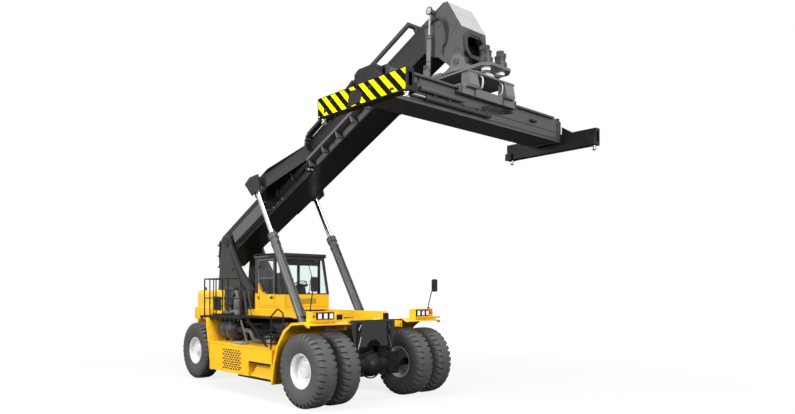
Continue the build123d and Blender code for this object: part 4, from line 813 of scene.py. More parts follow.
def build_beam_rails():
    """The shift cylinder, guide rails, hoses and clamps along the spreader beam."""
    shape = Shape()
    x, z = BEAM_FACE + 0.062, BEAM_TOP - 0.40
    shape.rod((x, -1.75, z), (x, 0.10, z), 0.045)
    for y in (-1.74, -1.60, 0.0, 0.09):
        shape.rod((x, y - 0.02, z), (x, y + 0.02, z), 0.055)
    for y in (-1.55, -1.15, -0.72, -0.30):
        shape.box((BEAM_FACE - 0.002, BEAM_FACE + 0.12), about(y, 0.022), (z + 0.02, z + 0.07))
    for side in (-1, 1):
        face = HX + side * BEAM_HALF
        for low, high in ((BEAM_LOW + 0.05, BEAM_LOW + 0.075), (BEAM_LOW + 0.20, BEAM_LOW + 0.215)):
            shape.box(layer(face, side * 0.012), (-2.68, 2.68), (low, high))
        # flange stiffeners under the top plate
        for y in (-2.3, -1.9):
            shape.prism([(face, BEAM_TOP - 0.04), (face + side * 0.075, BEAM_TOP - 0.04),
                         (face, BEAM_TOP - 0.15)], *about(y, 0.006))
    # end collars, through which the arms slide
    for side in (-1, 1):
        shape.hollow(about(HX, 0.385), span(side, 2.62, 2.70), (BEAM_LOW - 0.02, BEAM_TOP + 0.015), 0.03,
                     axis="y")
    shape.piece("beam_rails", "spreader", "boom_grey", charcoal, bevel=0.003)
    shape = Shape()
    shape.rod((x, -2.66, z), (x, -1.74, z), 0.026)
    shape.piece("shift_rod", "spreader", "rod_chrome", chrome)
    shape = Shape()
    for lift in (0.0, 0.045):
        shape.hose([(BEAM_FACE + 0.05, -0.10, BEAM_TOP - 0.30 + lift),
                    (BEAM_FACE + 0.10, 0.05, BEAM_TOP - 0.24 + lift),
                    (BEAM_FACE + 0.09, 0.35, BEAM_TOP - 0.28 + lift),
                    (BEAM_FACE + 0.05, 0.75, BEAM_TOP - 0.22 + lift),
                    (BEAM_FACE + 0.01, 0.95, BEAM_TOP - 0.16)], 0.014)
    shape.box((BEAM_FACE, BEAM_FACE + 0.07), (1.55, 1.75), (BEAM_TOP - 0.24, BEAM_TOP - 0.20))
    shape.piece("beam_hoses", "spreader", "boom_grey", hose, bevel=0.002)
    spots = [((HX + x * 0.40, y, BEAM_TOP), (0, 0, 1)) for x in (-1, 1)
             for y in (-2.2 + 0.22 * i for i in range(21))]
    copies("flange_bolts", bolt(0.013, 0.012), spots, "spreader", grey, 1.0)


for hand, side in HANDS:
    build_end_beam(hand, side)
build_beam_rails()


# ------------------ cab
CAB_REAR, CAB_FRONT = back(4.15), back(2.64)
CAB_HALF = 0.75
CAB_LEAN = 0.24
SILL_Z, LINTEL_Z, ROOF_Z = 2.58, 3.52, 3.69
DOOR_REAR, DOOR_FRONT = back(3.98), back(3.13)


def build_cab_body():
    """Two-colour cab and door, the roof cap, trim, seals and seams."""
    def pick(face):
        return 0 if face.calc_center_median().z < SILL_Z else 1

    eased("cab_shell", 0.016, yellow, charcoal, choose=pick, cuts=[((0, 0, SILL_Z), (0, 0, 1))])

    def pick_door(face):
        at = face.calc_center_median()
        return 0 if at.z < SILL_Z or (at.z < 2.87 and at.x < DOOR_FRONT - 0.06) else 1

    eased("cab_door", 0.006, yellow, grey, choose=pick_door,
          cuts=[((0, 0, SILL_Z), (0, 0, 1)), ((0, 0, 2.87), (0, 0, 1)),
                ((DOOR_FRONT - 0.06, 0, 0), (1, 0, 0))])
    # roof cap with a drip edge, and dark trim under its front
    shape = Shape()
    front = CAB_FRONT - CAB_LEAN + 0.06
    outline = [(CAB_REAR - 0.03, 3.585), (front - 0.01, 3.585), (front, 3.62), (front - 0.06, 3.675),
               (front - 0.16, ROOF_Z + 0.004), (CAB_REAR + 0.05, ROOF_Z + 0.004), (CAB_REAR - 0.03, 3.66)]
    shape.prism(outline, -CAB_HALF - 0.03, CAB_HALF + 0.03)
    shape.piece("cab_roof", "chassis", "frame_black", grey, bevel=0.018, segments=3)
    shape = Shape()
    shape.prism([(front - 0.55, 3.595), (front + 0.004, 3.595), (front + 0.012, 3.61), (front - 0.055, 3.684),
                 (front - 0.55, 3.684)], -CAB_HALF - 0.034, CAB_HALF + 0.034)
    for y in (-0.45, 0.0, 0.45):
        shape.box((CAB_REAR + 0.2, CAB_REAR + 0.75), about(y, 0.03), (ROOF_Z + 0.002, ROOF_Z + 0.010))
    # rubber along the screens, posts and sills
    for side in (-1, 1):
        y = side * CAB_HALF
        shape.prism([(CAB_FRONT - 0.075, SILL_Z - 0.01), (CAB_FRONT + 0.003, SILL_Z - 0.01),
                     (CAB_FRONT - CAB_LEAN + 0.003, LINTEL_Z + 0.09),
                     (CAB_FRONT - CAB_LEAN - 0.070, LINTEL_Z + 0.09)],
                    *sorted((y - side * 0.02, y + side * 0.003)))
        shape.box((DOOR_FRONT + 0.005, CAB_FRONT - 0.02), sorted((y - side * 0.02, y + side * 0.005)),
                  (SILL_Z - 0.022, SILL_Z + 0.004))
        shape.box((DOOR_FRONT + 0.012, DOOR_FRONT + 0.072), sorted((y - side * 0.02, y + side * 0.004)),
                  (SILL_Z, LINTEL_Z + 0.06))
    shape.box((CAB_FRONT - 0.03, CAB_FRONT + 0.005), (-CAB_HALF + 0.01, CAB_HALF - 0.01),
              (SILL_Z - 0.024, SILL_Z + 0.002))
    # blind folded under the roof, and its rail
    shape.box((CAB_FRONT - CAB_LEAN - 0.10, CAB_FRONT - CAB_LEAN - 0.06), (-0.62, 0.62),
              (LINTEL_Z - 0.16, LINTEL_Z - 0.02))
    shape.piece("cab_trim", "chassis", "cab_trim", soft_black, bevel=0.004)
    # panel seams, steps in the lower body, and the vent under the windscreen
    shape = Shape()
    for side in (-1, 1):
        y = side * CAB_HALF
        shape.box((DOOR_FRONT + 0.035, DOOR_FRONT + 0.041), layer(y, side * 0.0015), (2.17, SILL_Z - 0.02))
        shape.box((DOOR_FRONT + 0.05, CAB_FRONT - 0.04), layer(y, side * 0.0015), (2.215, 2.221))
    shape.box((CAB_FRONT, CAB_FRONT + 0.0015), (-0.70, 0.70), (2.215, 2.221))
    for i in range(7):
        shape.box((CAB_FRONT, CAB_FRONT + 0.004), (-0.30, 0.30), (2.30 + 0.022 * i, 2.308 + 0.022 * i))
    shape.piece("cab_seams", "chassis", "cab_trim", soft_black)


def build_door_fittings():
    """Bars, handle, hinges, window bead and panel seams of the near door."""
    shape = Shape()
    y = -CAB_HALF
    # cross bar and upright of the door window, then the handle
    shape.box((DOOR_REAR + 0.05, DOOR_FRONT - 0.05), (y + 0.004, y + 0.03), (2.985, 3.030))
    shape.box((DOOR_REAR + 0.385, DOOR_REAR + 0.415), (y + 0.006, y + 0.028), (3.03, LINTEL_Z - 0.03))
    shape.piece("door_bars", "cab_door", "cab_trim", grey, bevel=0.004)
    shape = Shape()
    shape.box((DOOR_FRONT - 0.20, DOOR_FRONT - 0.08), (y - 0.020, y + 0.002), (2.44, 2.50))
    shape.box((DOOR_FRONT - 0.19, DOOR_FRONT - 0.10), (y - 0.034, y - 0.018), (2.462, 2.482))
    # bead that follows the curved lower edge of the window
    line = [(DOOR_REAR + 0.052, 2.90), (DOOR_REAR + 0.060, 2.862), (DOOR_REAR + 0.12, 2.762),
            (DOOR_REAR + 0.22, 2.636), (DOOR_REAR + 0.34, 2.588), (DOOR_REAR + 0.46, 2.572),
            (DOOR_FRONT - 0.05, 2.572)]
    shape.hose([(x, y - 0.001, z) for x, z in line], 0.009)
    for z in (2.46, 3.32):
        shape.box((DOOR_REAR - 0.012, DOOR_REAR + 0.06), (y - 0.014, y + 0.002), about(z, 0.035))
    shape.piece("door_fittings", "cab_door", "cab_trim", soft_black, bevel=0.003)
    # recessed line of the lower door panel
    shape = Shape()
    for low, high in (((DOOR_REAR + 0.07, 2.245), (DOOR_FRONT - 0.06, 2.251)),
                      ((DOOR_FRONT - 0.066, 2.245), (DOOR_FRONT - 0.06, 2.54)),
                      ((DOOR_REAR + 0.07, 2.245), (DOOR_REAR + 0.076, 2.62))):
        shape.box((low[0], high[0]), (y - 0.0015, y), (low[1], high[1]))
    shape.piece("door_seams", "cab_door", "cab_trim", soft_black)


def build_wipers():
    """One wiper on the sloping windscreen."""
    shape = Shape()
    lean = -CAB_LEAN / (LINTEL_Z + 0.11 - SILL_Z)

    def on_screen(y, up, out=0.02):
        return (CAB_FRONT - 0.012 + out + lean * up, y, SILL_Z + up)

    shape.rod(on_screen(0.05, 0.02, 0.0), on_screen(0.05, 0.02, 0.04), 0.022, 14)
    shape.hose([on_screen(0.05, 0.02, 0.035), on_screen(0.10, 0.25, 0.035), on_screen(0.22, 0.52, 0.028)],
               0.008)
    shape.hose([on_screen(0.28, 0.22, 0.018), on_screen(0.22, 0.52, 0.02), on_screen(0.17, 0.80, 0.018)],
               0.010)
    shape.piece("screen_wiper", "chassis", "cab_trim", soft_black, bevel=0.002)


CORNER_PULL = 0.35
SQUARENESS = 5.0        # 2 is an ellipse; more is squarer
GROOVE_DEEP = 0.012     # a sewn channel's depth, and its spread to either side


def pad(place, long, wide, thick, crown, channels=()):
    """A padded form, crowned on top and drawn in at its corners, with sewn channels across it."""
    shape = Shape(place)

    def around_edge(scale, z):
        ring = []
        for t in turns(40):
            power = 2 / SQUARENESS
            x = math.copysign(abs(math.cos(t)) ** power, math.cos(t)) * long / 2
            y = math.copysign(abs(math.sin(t)) ** power, math.sin(t)) * wide / 2
            pull = 1 - 0.03 * abs(math.sin(2 * t)) * CORNER_PULL
            ring.append((x * scale * pull, y * scale * pull, z))
        return ring

    rings = [around_edge(0.90, 0.0), around_edge(0.97, thick * 0.12), around_edge(1.0, thick * 0.35),
             around_edge(1.0, thick * 0.62), around_edge(0.975, thick * 0.84),
             around_edge(0.93, thick * 0.93)]
    for scale in (0.86, 0.74, 0.60, 0.45, 0.30, 0.15, 0.03):
        ring = []
        for x, y, z in around_edge(scale, thick * 0.93):
            rise = crown * (1 - scale ** 2)
            for groove in channels:
                rise -= GROOVE_DEEP * math.exp(-((x - groove) / GROOVE_DEEP) ** 2)
            ring.append((x, y, z + rise))
        rings.append(ring)
    return shape.loft(rings)


def build_seat():
    """Padded cushion, back and headrest on a plinth, with arm rests and a lever."""
    seat_x = CAB_REAR + 0.48
    cushion = pad(Matrix.Translation((seat_x, 0, 2.445)), 0.51, 0.49, 0.09, 0.022, (-0.09, 0.06))
    made = cushion.piece("seat_cushion", "chassis", "cab_trim", seat_cloth, smooth=180)
    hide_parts("cab_seat")
    turn = Matrix.Rotation(math.radians(-99), 4, "Y")
    rest = pad(Matrix.Translation((seat_x - 0.255, 0, 2.80)) @ turn, 0.56, 0.46, 0.085, 0.02,
               (-0.14, 0.0, 0.14))
    rest.piece("seat_back", "chassis", "cab_trim", seat_cloth, smooth=180)
    head = pad(Matrix.Translation((seat_x - 0.305, 0, 3.12)) @ turn, 0.14, 0.26, 0.07, 0.012)
    head.piece("seat_headrest", "chassis", "cab_trim", seat_cloth, smooth=180)
    shape = Shape()
    shape.loft([[(seat_x + x * 0.12 * s, y * 0.15 * s, z) for x, y in SQUARE]
                for s, z in ((1.0, 2.17), (1.0, 2.20), (0.72, 2.23), (0.72, 2.38), (1.0, 2.41),
                             (1.0, 2.445))])
    for side in (-1, 1):
        shape.prism([(seat_x - 0.18, 2.70), (seat_x + 0.20, 2.70), (seat_x + 0.20, 2.75),
                     (seat_x + 0.14, 2.78), (seat_x - 0.18, 2.78)], *span(side, 0.275, 0.355))
        shape.box((seat_x - 0.16, seat_x - 0.10), span(side, 0.29, 0.34), (2.44, 2.70))
        shape.box((seat_x - 0.18, seat_x + 0.20), span(side, 0.24, 0.30), (2.442, 2.468))
    shape.rod((seat_x + 0.12, -0.315, 2.78), (seat_x + 0.14, -0.315, 2.90), 0.014)
    shape.lathe([(0, 0.022), (0.03, 0.026), (0.05, 0.018), (0.055, 0.0)], (seat_x + 0.14, -0.315, 2.89),
                (0.15, 0, 1), 20)
    shape.piece("seat_frame", "chassis", "cab_trim", soft_black, bevel=0.006)


def build_console():
    """Steering column with its wheel, and the display on its post."""
    front = CAB_FRONT
    shape = Shape()
    shape.prism([(front - 0.33, 2.17), (front - 0.12, 2.17), (front - 0.16, 2.40), (front - 0.26, 2.80),
                 (front - 0.38, 2.76), (front - 0.34, 2.55)], -0.11, 0.11)
    shape.prism([(front - 0.40, 2.745), (front - 0.20, 2.795), (front - 0.19, 2.84), (front - 0.36, 2.81)],
                -0.17, 0.17)
    tilt = Vector((-0.45, 0, 0.9)).normalized()
    hub = Vector((front - 0.35, 0, 2.83))
    shape.lathe([(-0.06, 0.035), (0.0, 0.04), (0.015, 0.045), (0.022, 0.0)], hub, tilt, 24)
    ring = [(0.0125 + 0.0125 * math.sin(t), 0.195 + 0.0125 * math.cos(t)) for t in turns(10)]
    shape.lathe(ring + ring[:1], hub, tilt, 40)
    for turn in (0, 2.1, 4.2):
        side = tilt.orthogonal().normalized()
        out = side * math.cos(turn) + tilt.cross(side) * math.sin(turn)
        shape.rod(hub + out * 0.03 + tilt * 0.012, hub + out * 0.188 + tilt * 0.012, 0.011, 10)
    made = shape.piece("steering_column", "chassis", "cab_trim", soft_black, bevel=0.006)
    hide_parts("steering_console")
    shape = Shape()
    shape.box((front - 0.46, front - 0.42), (-0.62, -0.36), (2.72, 2.92))
    shape.box((front - 0.44, front - 0.15), (-0.66, -0.60), (2.17, 2.74))
    shape.piece("display", "chassis", "cab_trim", soft_black, bevel=0.008)


build_cab_body()
build_door_fittings()
build_wipers()
build_seat()
build_console()


# ------------------ between the axles
DECK_Z = 1.92
BOX_TOP = 1.28
SIDE_Y = 2.05


def build_side_boxes():
    """Near-black patches of painted shade in the slots, seams, bolts and grip strips on and round the side boxes.
    """
    # near-black hexagons on the near box face paint the shade inside the slots
    slot = Shape()
    slot.prism([(-0.048, 0), (-0.034, -0.021), (0.034, -0.021), (0.048, 0), (0.034, 0.021), (-0.034, 0.021)],
               -0.001, 0.0)
    spots = [Matrix.Translation((back(3.12) + column * 0.132 + (0.033 if row % 2 else -0.033),
                                 -SIDE_Y - 0.0002, 0.87 + row * 0.06)) for row in range(-4, 5)
             for column in range(-3, 4)]
    copies("slot_floors", slot, spots, "chassis", dark)
    shape = Shape()
    for side in (-1, 1):
        y = side * SIDE_Y
        for x in (back(2.62), back(3.62)):
            shape.box(about(x, 0.003), layer(y, -side * 0.002), (0.54, BOX_TOP - 0.03))
        shape.box((back(4.33), back(1.21)), layer(y, -side * 0.002), (BOX_TOP - 0.055, BOX_TOP - 0.049))
    shape.piece("box_seams", "chassis", "frame_black", soft_black)
    spots = [((x, side * SIDE_Y, z), (0, side, 0)) for side in (-1, 1)
             for x in (back(2.56), back(3.68), back(4.28)) for z in (0.60, 0.87, 1.14)]
    copies("box_bolts", bolt(0.014, 0.010), spots, "chassis", yellow)
    shape = Shape()
    for side in (-1, 1):
        # rubber strip along the sill, and grip bars on the ledge and the treads
        shape.box((back(2.77), back(1.24)), span(side, SIDE_Y - 0.16, SIDE_Y + 0.008), (0.4805, 0.489))
        for i in range(8):
            y = side * (SIDE_Y - 0.27 + 0.034 * i)
            shape.box((back(2.20), back(1.30)), layer(y, side * 0.010), (0.900, 0.905))
        for step, z in ((2.25, 1.45), (2.51, 1.62), (2.77, 1.79)):
            for i in range(6):
                x = back(step) - 0.095 + 0.036 * i
                shape.box((x, x + 0.010), span(side, 1.19, 1.71), (z, z + 0.005))
    shape.piece("grip_bars", "chassis", "frame_black", soft_black, bevel=0.002)


def build_silencer():
    """The drum with its bands and strap, its cradle, and the pipes that leave it."""
    y, z = -1.50, 1.595
    rear = back(4.44)
    shape = Shape()
    drum = [(0, 0.0), (0.004, 0.14), (0.02, 0.235), (0.05, 0.272), (0.08, 0.282)]
    for at in (0.13, 0.36, 0.60):
        drum += [(at, 0.282), (at + 0.004, 0.289), (at + 0.034, 0.289), (at + 0.038, 0.282)]
    drum += [(0.69, 0.280), (0.72, 0.262), (0.745, 0.215), (0.755, 0.15), (0.76, 0.095), (0.79, 0.088),
             (1.02, 0.088), (1.02, 0.075)]
    shape.lathe(drum, (rear, y, z), (1, 0, 0), 56)
    shape.lathe([(0.78, 0.105), (0.80, 0.105)], (rear, y, z), (1, 0, 0), 40)
    made = shape.piece("silencer_drum", "chassis", "machinery_grey", charcoal, smooth=38)
    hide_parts("air_cleaner")
    shape = Shape()
    for x in (back(4.20), back(3.85)):
        shape.lathe(band(0.283, 0.2895, -0.025, 0.025), (x, y, z), (1, 0, 0), 56)
        shape.prism([(-1.68, BOX_TOP), (-1.32, BOX_TOP), (-1.34, 1.36), (-1.40, 1.335), (-1.60, 1.335),
                     (-1.66, 1.36)], x - 0.02, x + 0.02, axis="x")
    shape.piece("silencer_straps", "chassis", "machinery_grey", grey, bevel=0.003)
    shape = Shape()
    shape.hose([(back(3.43), y, z), (back(3.30), y, z), (back(3.16), y + 0.02, z - 0.01),
                (back(3.08), y + 0.04, z - 0.12), (back(3.00), y + 0.05, z - 0.24),
                (back(2.86), y + 0.06, z - 0.255), (back(2.62), y + 0.10, z - 0.25)], 0.060, 5, 10)
    shape.piece("outlet_pipe", "chassis", "machinery_grey", grey)
    shape = Shape()
    for i, (dy, dz) in enumerate(((0.10, 0.05), (0.16, 0.0), (0.22, 0.07))):
        shape.hose([(back(3.62), y + dy, z + 0.12 + dz), (back(3.45), y + dy, z + 0.14 + dz),
                    (back(3.2), y + dy, z + 0.05 + dz), (back(2.9), y + dy + 0.05, z - 0.10 + dz),
                    (back(2.6), y + dy + 0.10, z - 0.12 + dz), (back(2.3), y + dy + 0.14, z - 0.18 + dz)],
                   0.019)
    for i in range(4):
        shape.hose([(back(2.70), -1.17, 1.36 + 0.11 * i), (back(2.2), -1.19, 1.38 + 0.10 * i),
                    (back(1.9), -1.175, 1.36 + 0.10 * i), (back(1.5), -1.19, 1.40 + 0.09 * i),
                    (back(1.32), -1.10, 1.42 + 0.08 * i)], 0.017)
    shape.piece("side_hoses", "chassis", "machinery_grey", hose)
    # valve block, and a tray on the box top
    shape = Shape()
    shape.box((back(2.66), back(2.34)), (-1.34, -1.16), (1.29, 1.47))
    for i in range(4):
        shape.rod((back(2.62) + 0.08 * i, -1.25, 1.47), (back(2.62) + 0.08 * i, -1.25, 1.53), 0.022, 14)
    shape.box((back(3.25), back(2.80)), (-1.95, -1.70), (1.281, 1.33))
    shape.piece("valve_block", "chassis", "machinery_grey", cast, bevel=0.006)


def build_filters():
    """A big banded canister over a smaller one, and the second canister with its elbow."""
    x, y = back(5.06), -1.01
    shape = Shape()
    big = [(0.0, 0.10), (0.005, 0.155), (0.02, 0.175)]
    for at in (0.06, 0.26, 0.46):
        big += [(at, 0.180), (at + 0.006, 0.195), (at + 0.036, 0.195), (at + 0.042, 0.180)]
    big += [(0.535, 0.176), (0.56, 0.150), (0.57, 0.0)]
    shape.lathe(big, (x, y, 2.20), (0, 0, 1), 48)
    made = shape.piece("filter_canister", "chassis", "machinery_grey", charcoal, smooth=38)
    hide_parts("filter_cans")
    shape = Shape()
    shape.lathe([(0, 0.105), (0.03, 0.109), (0.03, 0.095), (0.06, 0.092), (0.19, 0.092), (0.20, 0.108),
                 (0.24, 0.108)], (x, y, 1.96), (0, 0, 1), 40)
    second = [(0, 0.115), (0.02, 0.119), (0.035, 0.108), (0.20, 0.108), (0.205, 0.118), (0.235, 0.118),
              (0.24, 0.108), (0.46, 0.108), (0.50, 0.095), (0.53, 0.06), (0.54, 0.0)]
    shape.lathe(second, (back(4.70), y, 1.96), (0, 0, 1), 40)
    shape.piece("filter_bases", "chassis", "machinery_grey", barrel_paint, smooth=38)
    shape = Shape()
    shape.hose([(back(4.70), y, 2.47), (back(4.70), y, 2.56), (back(4.74), y, 2.63), (back(4.86), y, 2.60),
                (back(4.93), y, 2.56)], 0.058, 5, 10)
    shape.hose([(x, y - 0.10, 2.06), (x, y - 0.22, 2.06), (x + 0.05, y - 0.28, 2.04),
                (x + 0.22, y - 0.28, 2.02), (x + 0.36, y - 0.16, 2.04), (x + 0.36, y - 0.08, 2.08)], 0.045, 5,
               10)
    shape.piece("filter_elbows", "chassis", "machinery_grey", grey)


def build_rails():
    """Rails round the rear deck, the grab rail over the step and the two leaning ones by the tower."""
    shape = Shape()
    y, inner = -1.82, -1.26
    foot, mid, top = 1.955, 2.45, 2.99
    rear, front = back(5.12), back(3.06)
    posts = (back(4.80), back(4.43), back(3.745))
    shape.pipe([(rear, y, foot), (rear, y, top), (front, y, top), (front, y, foot)], 0.019, 0.10)
    shape.pipe([(rear, inner, foot), (rear, inner, top), (rear, y, top), (rear + 0.12, y, top)], 0.019, 0.10)
    for x in posts:
        shape.rod((x, y, foot), (x, y, top), 0.017, 14)
    shape.rod((rear, y, mid), (front, y, mid), 0.015, 14)
    shape.rod((rear, y, mid), (rear, inner, mid), 0.015, 14)
    shape.rod((rear, -1.54, foot), (rear, -1.54, top), 0.015, 14)
    for x, at in ((rear, y), (front, y), *((x, y) for x in posts), (rear, inner), (rear, -1.54)):
        shape.box(about(x, 0.035), about(at, 0.035), (1.960, 1.970))
    for make, path, sizes in ((shape.pipe, ((1.33, 1.245), (1.33, 2.03), (1.03, 2.232), (0.80, 2.13),
                                            (0.79, 1.556)), (0.019, 0.13)),
                              (shape.hose, ((1.33, 1.60), (1.20, 1.60), (0.95, 1.60)), (0.014,))):
        make([(back(at), -1.98, z) for at, z in path], *sizes)
    made = shape.piece("rails", "chassis", "frame_black", black)
    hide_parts("handrails")
    shape = Shape()
    for dx, dy in ((0.0, -0.80), (0.16, -0.92)):
        shape.pipe([(back(4.50) + dx, dy, 1.96), (back(4.64) + dx, dy, 2.66), (back(4.56) + dx, dy, 2.80),
                    (back(4.44) + dx, dy, 2.74), (back(4.22) + dx, dy, 1.96)], 0.017, 0.10)
    shape.piece("grab_pipes", "chassis", "frame_black", charcoal)


def grip_bar():
    """A short raised bar, standing on z = 0."""
    return Shape().prism([(-0.035, -0.007), (0.035, -0.007), (0.035, 0.007), (-0.035, 0.007)], 0.0, 0.0035,
                         axis="z")


def grip_spot(x, y, place):
    """Where a grip bar lies on the deck, turned one way or the other by its place in the pattern."""
    turn = Matrix.Rotation(math.radians(45 if place % 2 else -45), 4, "Z")
    return Matrix.Translation((x, y, DECK_Z + 0.04)) @ turn


def build_decks():
    """Gussets under the deck edges and grip bars on top."""
    gusset = Shape()
    gusset.prism([(-0.10, 0.0), (0.10, 0.0), (0.045, -0.055), (0.0, -0.075), (-0.045, -0.055)], -0.006, 0.006)
    spots = [Matrix.Translation((back(5.14) + 0.23 * i, side * 1.892, DECK_Z)) for side in (-1, 1)
             for i in range(10)]
    copies("deck_gussets", gusset, spots, "chassis", black)
    spots = []
    for side in (-1, 1):
        for i in range(26):
            for j in range(13):
                x, y = back(5.20) + 0.088 * i, side * (0.88 + 0.076 * j)
                if back(5.24) < x < back(2.98) and not (side < 0 and x < back(4.50) and y > -1.25):
                    spots.append(grip_spot(x, y, i + j))
    copies("deck_grip", grip_bar(), spots, "chassis", black)
    spots = []
    for side in (-1, 1):
        for i in range(9):
            for j in range(6):
                spots.append(grip_spot(back(2.88) + 0.088 * i, side * (0.90 + 0.085 * j), i + j))
    copies("step_deck_grip", grip_bar(), spots, "chassis", black)


build_side_boxes()
build_silencer()
build_filters()
build_rails()
build_decks()


# ------------------ front: lamps, mirrors, plate and axle
LAMP_X = DX + 0.29
PLATE_X = 1.797


def build_lamps():
    """A yellow housing on each fender, with three lamps in black frames and a round reflector."""
    housing, frames, glass, reflector = Shape(), Shape(), Shape(), Shape()
    for side in (-1, 1):
        across = span(side, 1.29, 1.93)
        housing.prism([(DX + 0.06, 1.952), (DX + 0.20, 1.96), (LAMP_X - 0.05, 1.93), (LAMP_X - 0.05, 2.188),
                       (DX + 0.06, 2.188)], *across)
        housing.hollow((LAMP_X - 0.06, LAMP_X), across, (1.914, 2.19), 0.018)
        for low in (1.34, 1.50, 1.66):
            near, far = span(side, low, low + 0.125)
            frames.hollow((LAMP_X - 0.05, LAMP_X + 0.022), (near - 0.006, far + 0.006), (2.008, 2.157), 0.014)
            glass.box((LAMP_X - 0.04, LAMP_X + 0.014), (near + 0.008, far - 0.008), (2.022, 2.143))
        reflector.lathe([(0, 0.042), (0.014, 0.042), (0.02, 0.034)], (LAMP_X - 0.052, side * 1.865, 2.08),
                        (1, 0, 0), 28)
    made = housing.piece("lamp_housings", "chassis", "frame_black", yellow, bevel=0.006)
    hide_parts("headlamps")
    frames.piece("lamp_frames", "chassis", "frame_black", soft_black, bevel=0.003)
    glass.piece("lamp_lenses", "chassis", "frame_black", lens, bevel=0.01, segments=3)
    reflector.piece("reflectors", "chassis", "frame_black", red)


def build_mirrors():
    """A bent thin pole on each fender, with its clamps and a rounded mirror head."""
    poles, heads, faces = Shape(), Shape(), Shape()
    for side in (-1, 1):
        foot, knee = Vector((LAMP_X - 0.12, side * 1.89, 2.17)), Vector((LAMP_X - 0.12, side * 1.89, 2.29))
        poles.pipe([foot, knee, (LAMP_X - 0.04, side * 1.90, 2.56), (LAMP_X - 0.005, side * 1.905, 2.66),
                    (LAMP_X + 0.03, side * 1.91, 2.70)], 0.0125, 0.05)
        poles.rod((LAMP_X - 0.12, side * 1.89, 2.188), (LAMP_X - 0.12, side * 1.89, 2.225), 0.032, 20)
        for z in (2.70, 2.86):
            poles.box((LAMP_X + 0.015, LAMP_X + 0.045), span(side, 1.885, 1.935), (z, z + 0.028))
        poles.rod((LAMP_X + 0.025, side * 1.91, 2.68), (LAMP_X + 0.025, side * 1.91, 2.91), 0.0115, 14)
        rings = []
        for depth, inset in ((0.038, 0.028), (0.046, 0.008), (0.066, 0.0), (0.090, 0.004)):
            outline = []
            for cy, cz, turn in ((1, 1, 0), (-1, 1, 1), (-1, -1, 2), (1, -1, 3)):
                for step in range(5):
                    angle = math.pi / 2 * (turn + step / 4)
                    corner = 0.04 - inset * 0.5
                    outline.append((LAMP_X + depth,
                                    side * 1.92 + cy * (0.094 - inset - corner) + corner * math.cos(angle),
                                    2.795 + cz * (0.164 - inset - corner) + corner * math.sin(angle)))
            rings.append(outline)
        heads.loft(rings)
        centre = Vector((LAMP_X + 0.0925, side * 1.92, 2.795))
        # a flat near-black face in place of the mirror glass: painted reflection
        faces.box((LAMP_X + 0.0885, LAMP_X + 0.0925), about(centre.y, 0.076), about(centre.z, 0.146))
    made = poles.piece("mirror_poles", "chassis", "frame_black", black)
    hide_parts("mirrors")
    heads.piece("mirror_heads", "chassis", "frame_black", soft_black, smooth=50)
    faces.piece("mirror_faces", "chassis", "frame_black", dark, bevel=0.002)


def build_front():
    """Brackets and struts on the front plate, the axle's covers with painted shade for their slots, and the dome's
    rim.
    """
    plates, struts, covers, slot_shade = Shape(), Shape(), Shape(), Shape()
    outline = [(0.555, 1.90), (0.40, 1.90), (0.44, 1.80), (0.40, 1.70), (0.455, 1.60), (0.425, 1.49),
               (0.47, 1.38), (0.44, 1.24), (0.50, 1.16), (0.555, 1.20)]
    for side in (-1, 1):
        plates.prism([(side * y, z) for y, z in outline], PLATE_X - 0.004, PLATE_X + 0.022, axis="x")
        struts.rod((PLATE_X + 0.045, side * 0.445, 1.55), (PLATE_X + 0.045, side * 0.535, 1.26), 0.011, 14)
        struts.rod((PLATE_X + 0.04, side * 0.445, 1.84), (PLATE_X + 0.04, side * 0.50, 1.72), 0.010, 14)
        for y, z in ((0.48, 1.84), (0.475, 1.66), (0.50, 1.44), (0.51, 1.24)):
            plates.lathe([(0, 0.026), (0.020, 0.026), (0.026, 0.018)], (PLATE_X + 0.022, side * y, z),
                         (1, 0, 0), 8)
        covers.box((DX + 0.10, DX + 0.122), span(side, 0.285, 0.875), (0.585, 1.14))
        covers.box((DX + 0.10, DX + 0.128), span(side, 0.33, 0.355), (0.62, 1.02))
        # thin near-black strips on the covers stand for the slots: painted shade
        for y in (0.43, 0.52, 0.61, 0.72):
            slot_shade.box((DX + 0.121, DX + 0.1235), span(side, y - 0.017, y + 0.017), (0.68, 0.95))
        for y, z in ((0.39, 0.66), (0.39, 0.98), (0.73, 0.66), (0.73, 0.98)):
            covers.lathe([(0, 0.016), (0.012, 0.016)], (DX + 0.122, side * y, z), (1, 0, 0), 6)
    plates.piece("front_brackets", "chassis", "frame_black", black, bevel=0.003)
    struts.piece("front_struts", "chassis", "frame_black", steel)
    covers.piece("axle_covers", "chassis", "frame_black", black, bevel=0.003)
    slot_shade.piece("axle_cover_slots", "chassis", "frame_black", dark)
    shape = Shape()
    shape.lathe([(0.0, 0.315), (0.0, 0.335), (0.05, 0.335), (0.05, 0.300), (0.0, 0.315)],
                (DX + 0.02, 0, TYRE_R), (1, 0, 0), 64)
    for side in (-1, 1):
        shape.box((1.377, 1.43), span(side, 0.675, 0.825), (1.93, 2.085))
    shape.piece("dome_rim_and_rail_stops", "chassis", "frame_black", black, bevel=0.004)
    shape = Shape()
    for side in (-1, 1):
        shape.prism([(DX + 0.385, 1.952), (DX + 0.405, 1.952), (DX + 0.425, 1.992), (DX + 0.417, 1.996)],
                    *span(side, 1.16, 2.085))
    shape.piece("fender_lips", "chassis", "body_yellow", yellow, bevel=0.002)
    shape = Shape()
    for y, z in ((-0.93, 2.0), (-0.99, 1.985), (-1.04, 2.0)):
        shape.hose([(back(1.55), y, z), (back(1.25), y - 0.04, z + 0.03), (back(0.9), y + 0.05, z + 0.02),
                    (back(0.55), y, z + 0.025), (back(0.3), y + 0.02, z)], 0.017)
    shape.piece("deck_hoses", "chassis", "machinery_grey", hose)


build_lamps()
build_mirrors()
build_front()


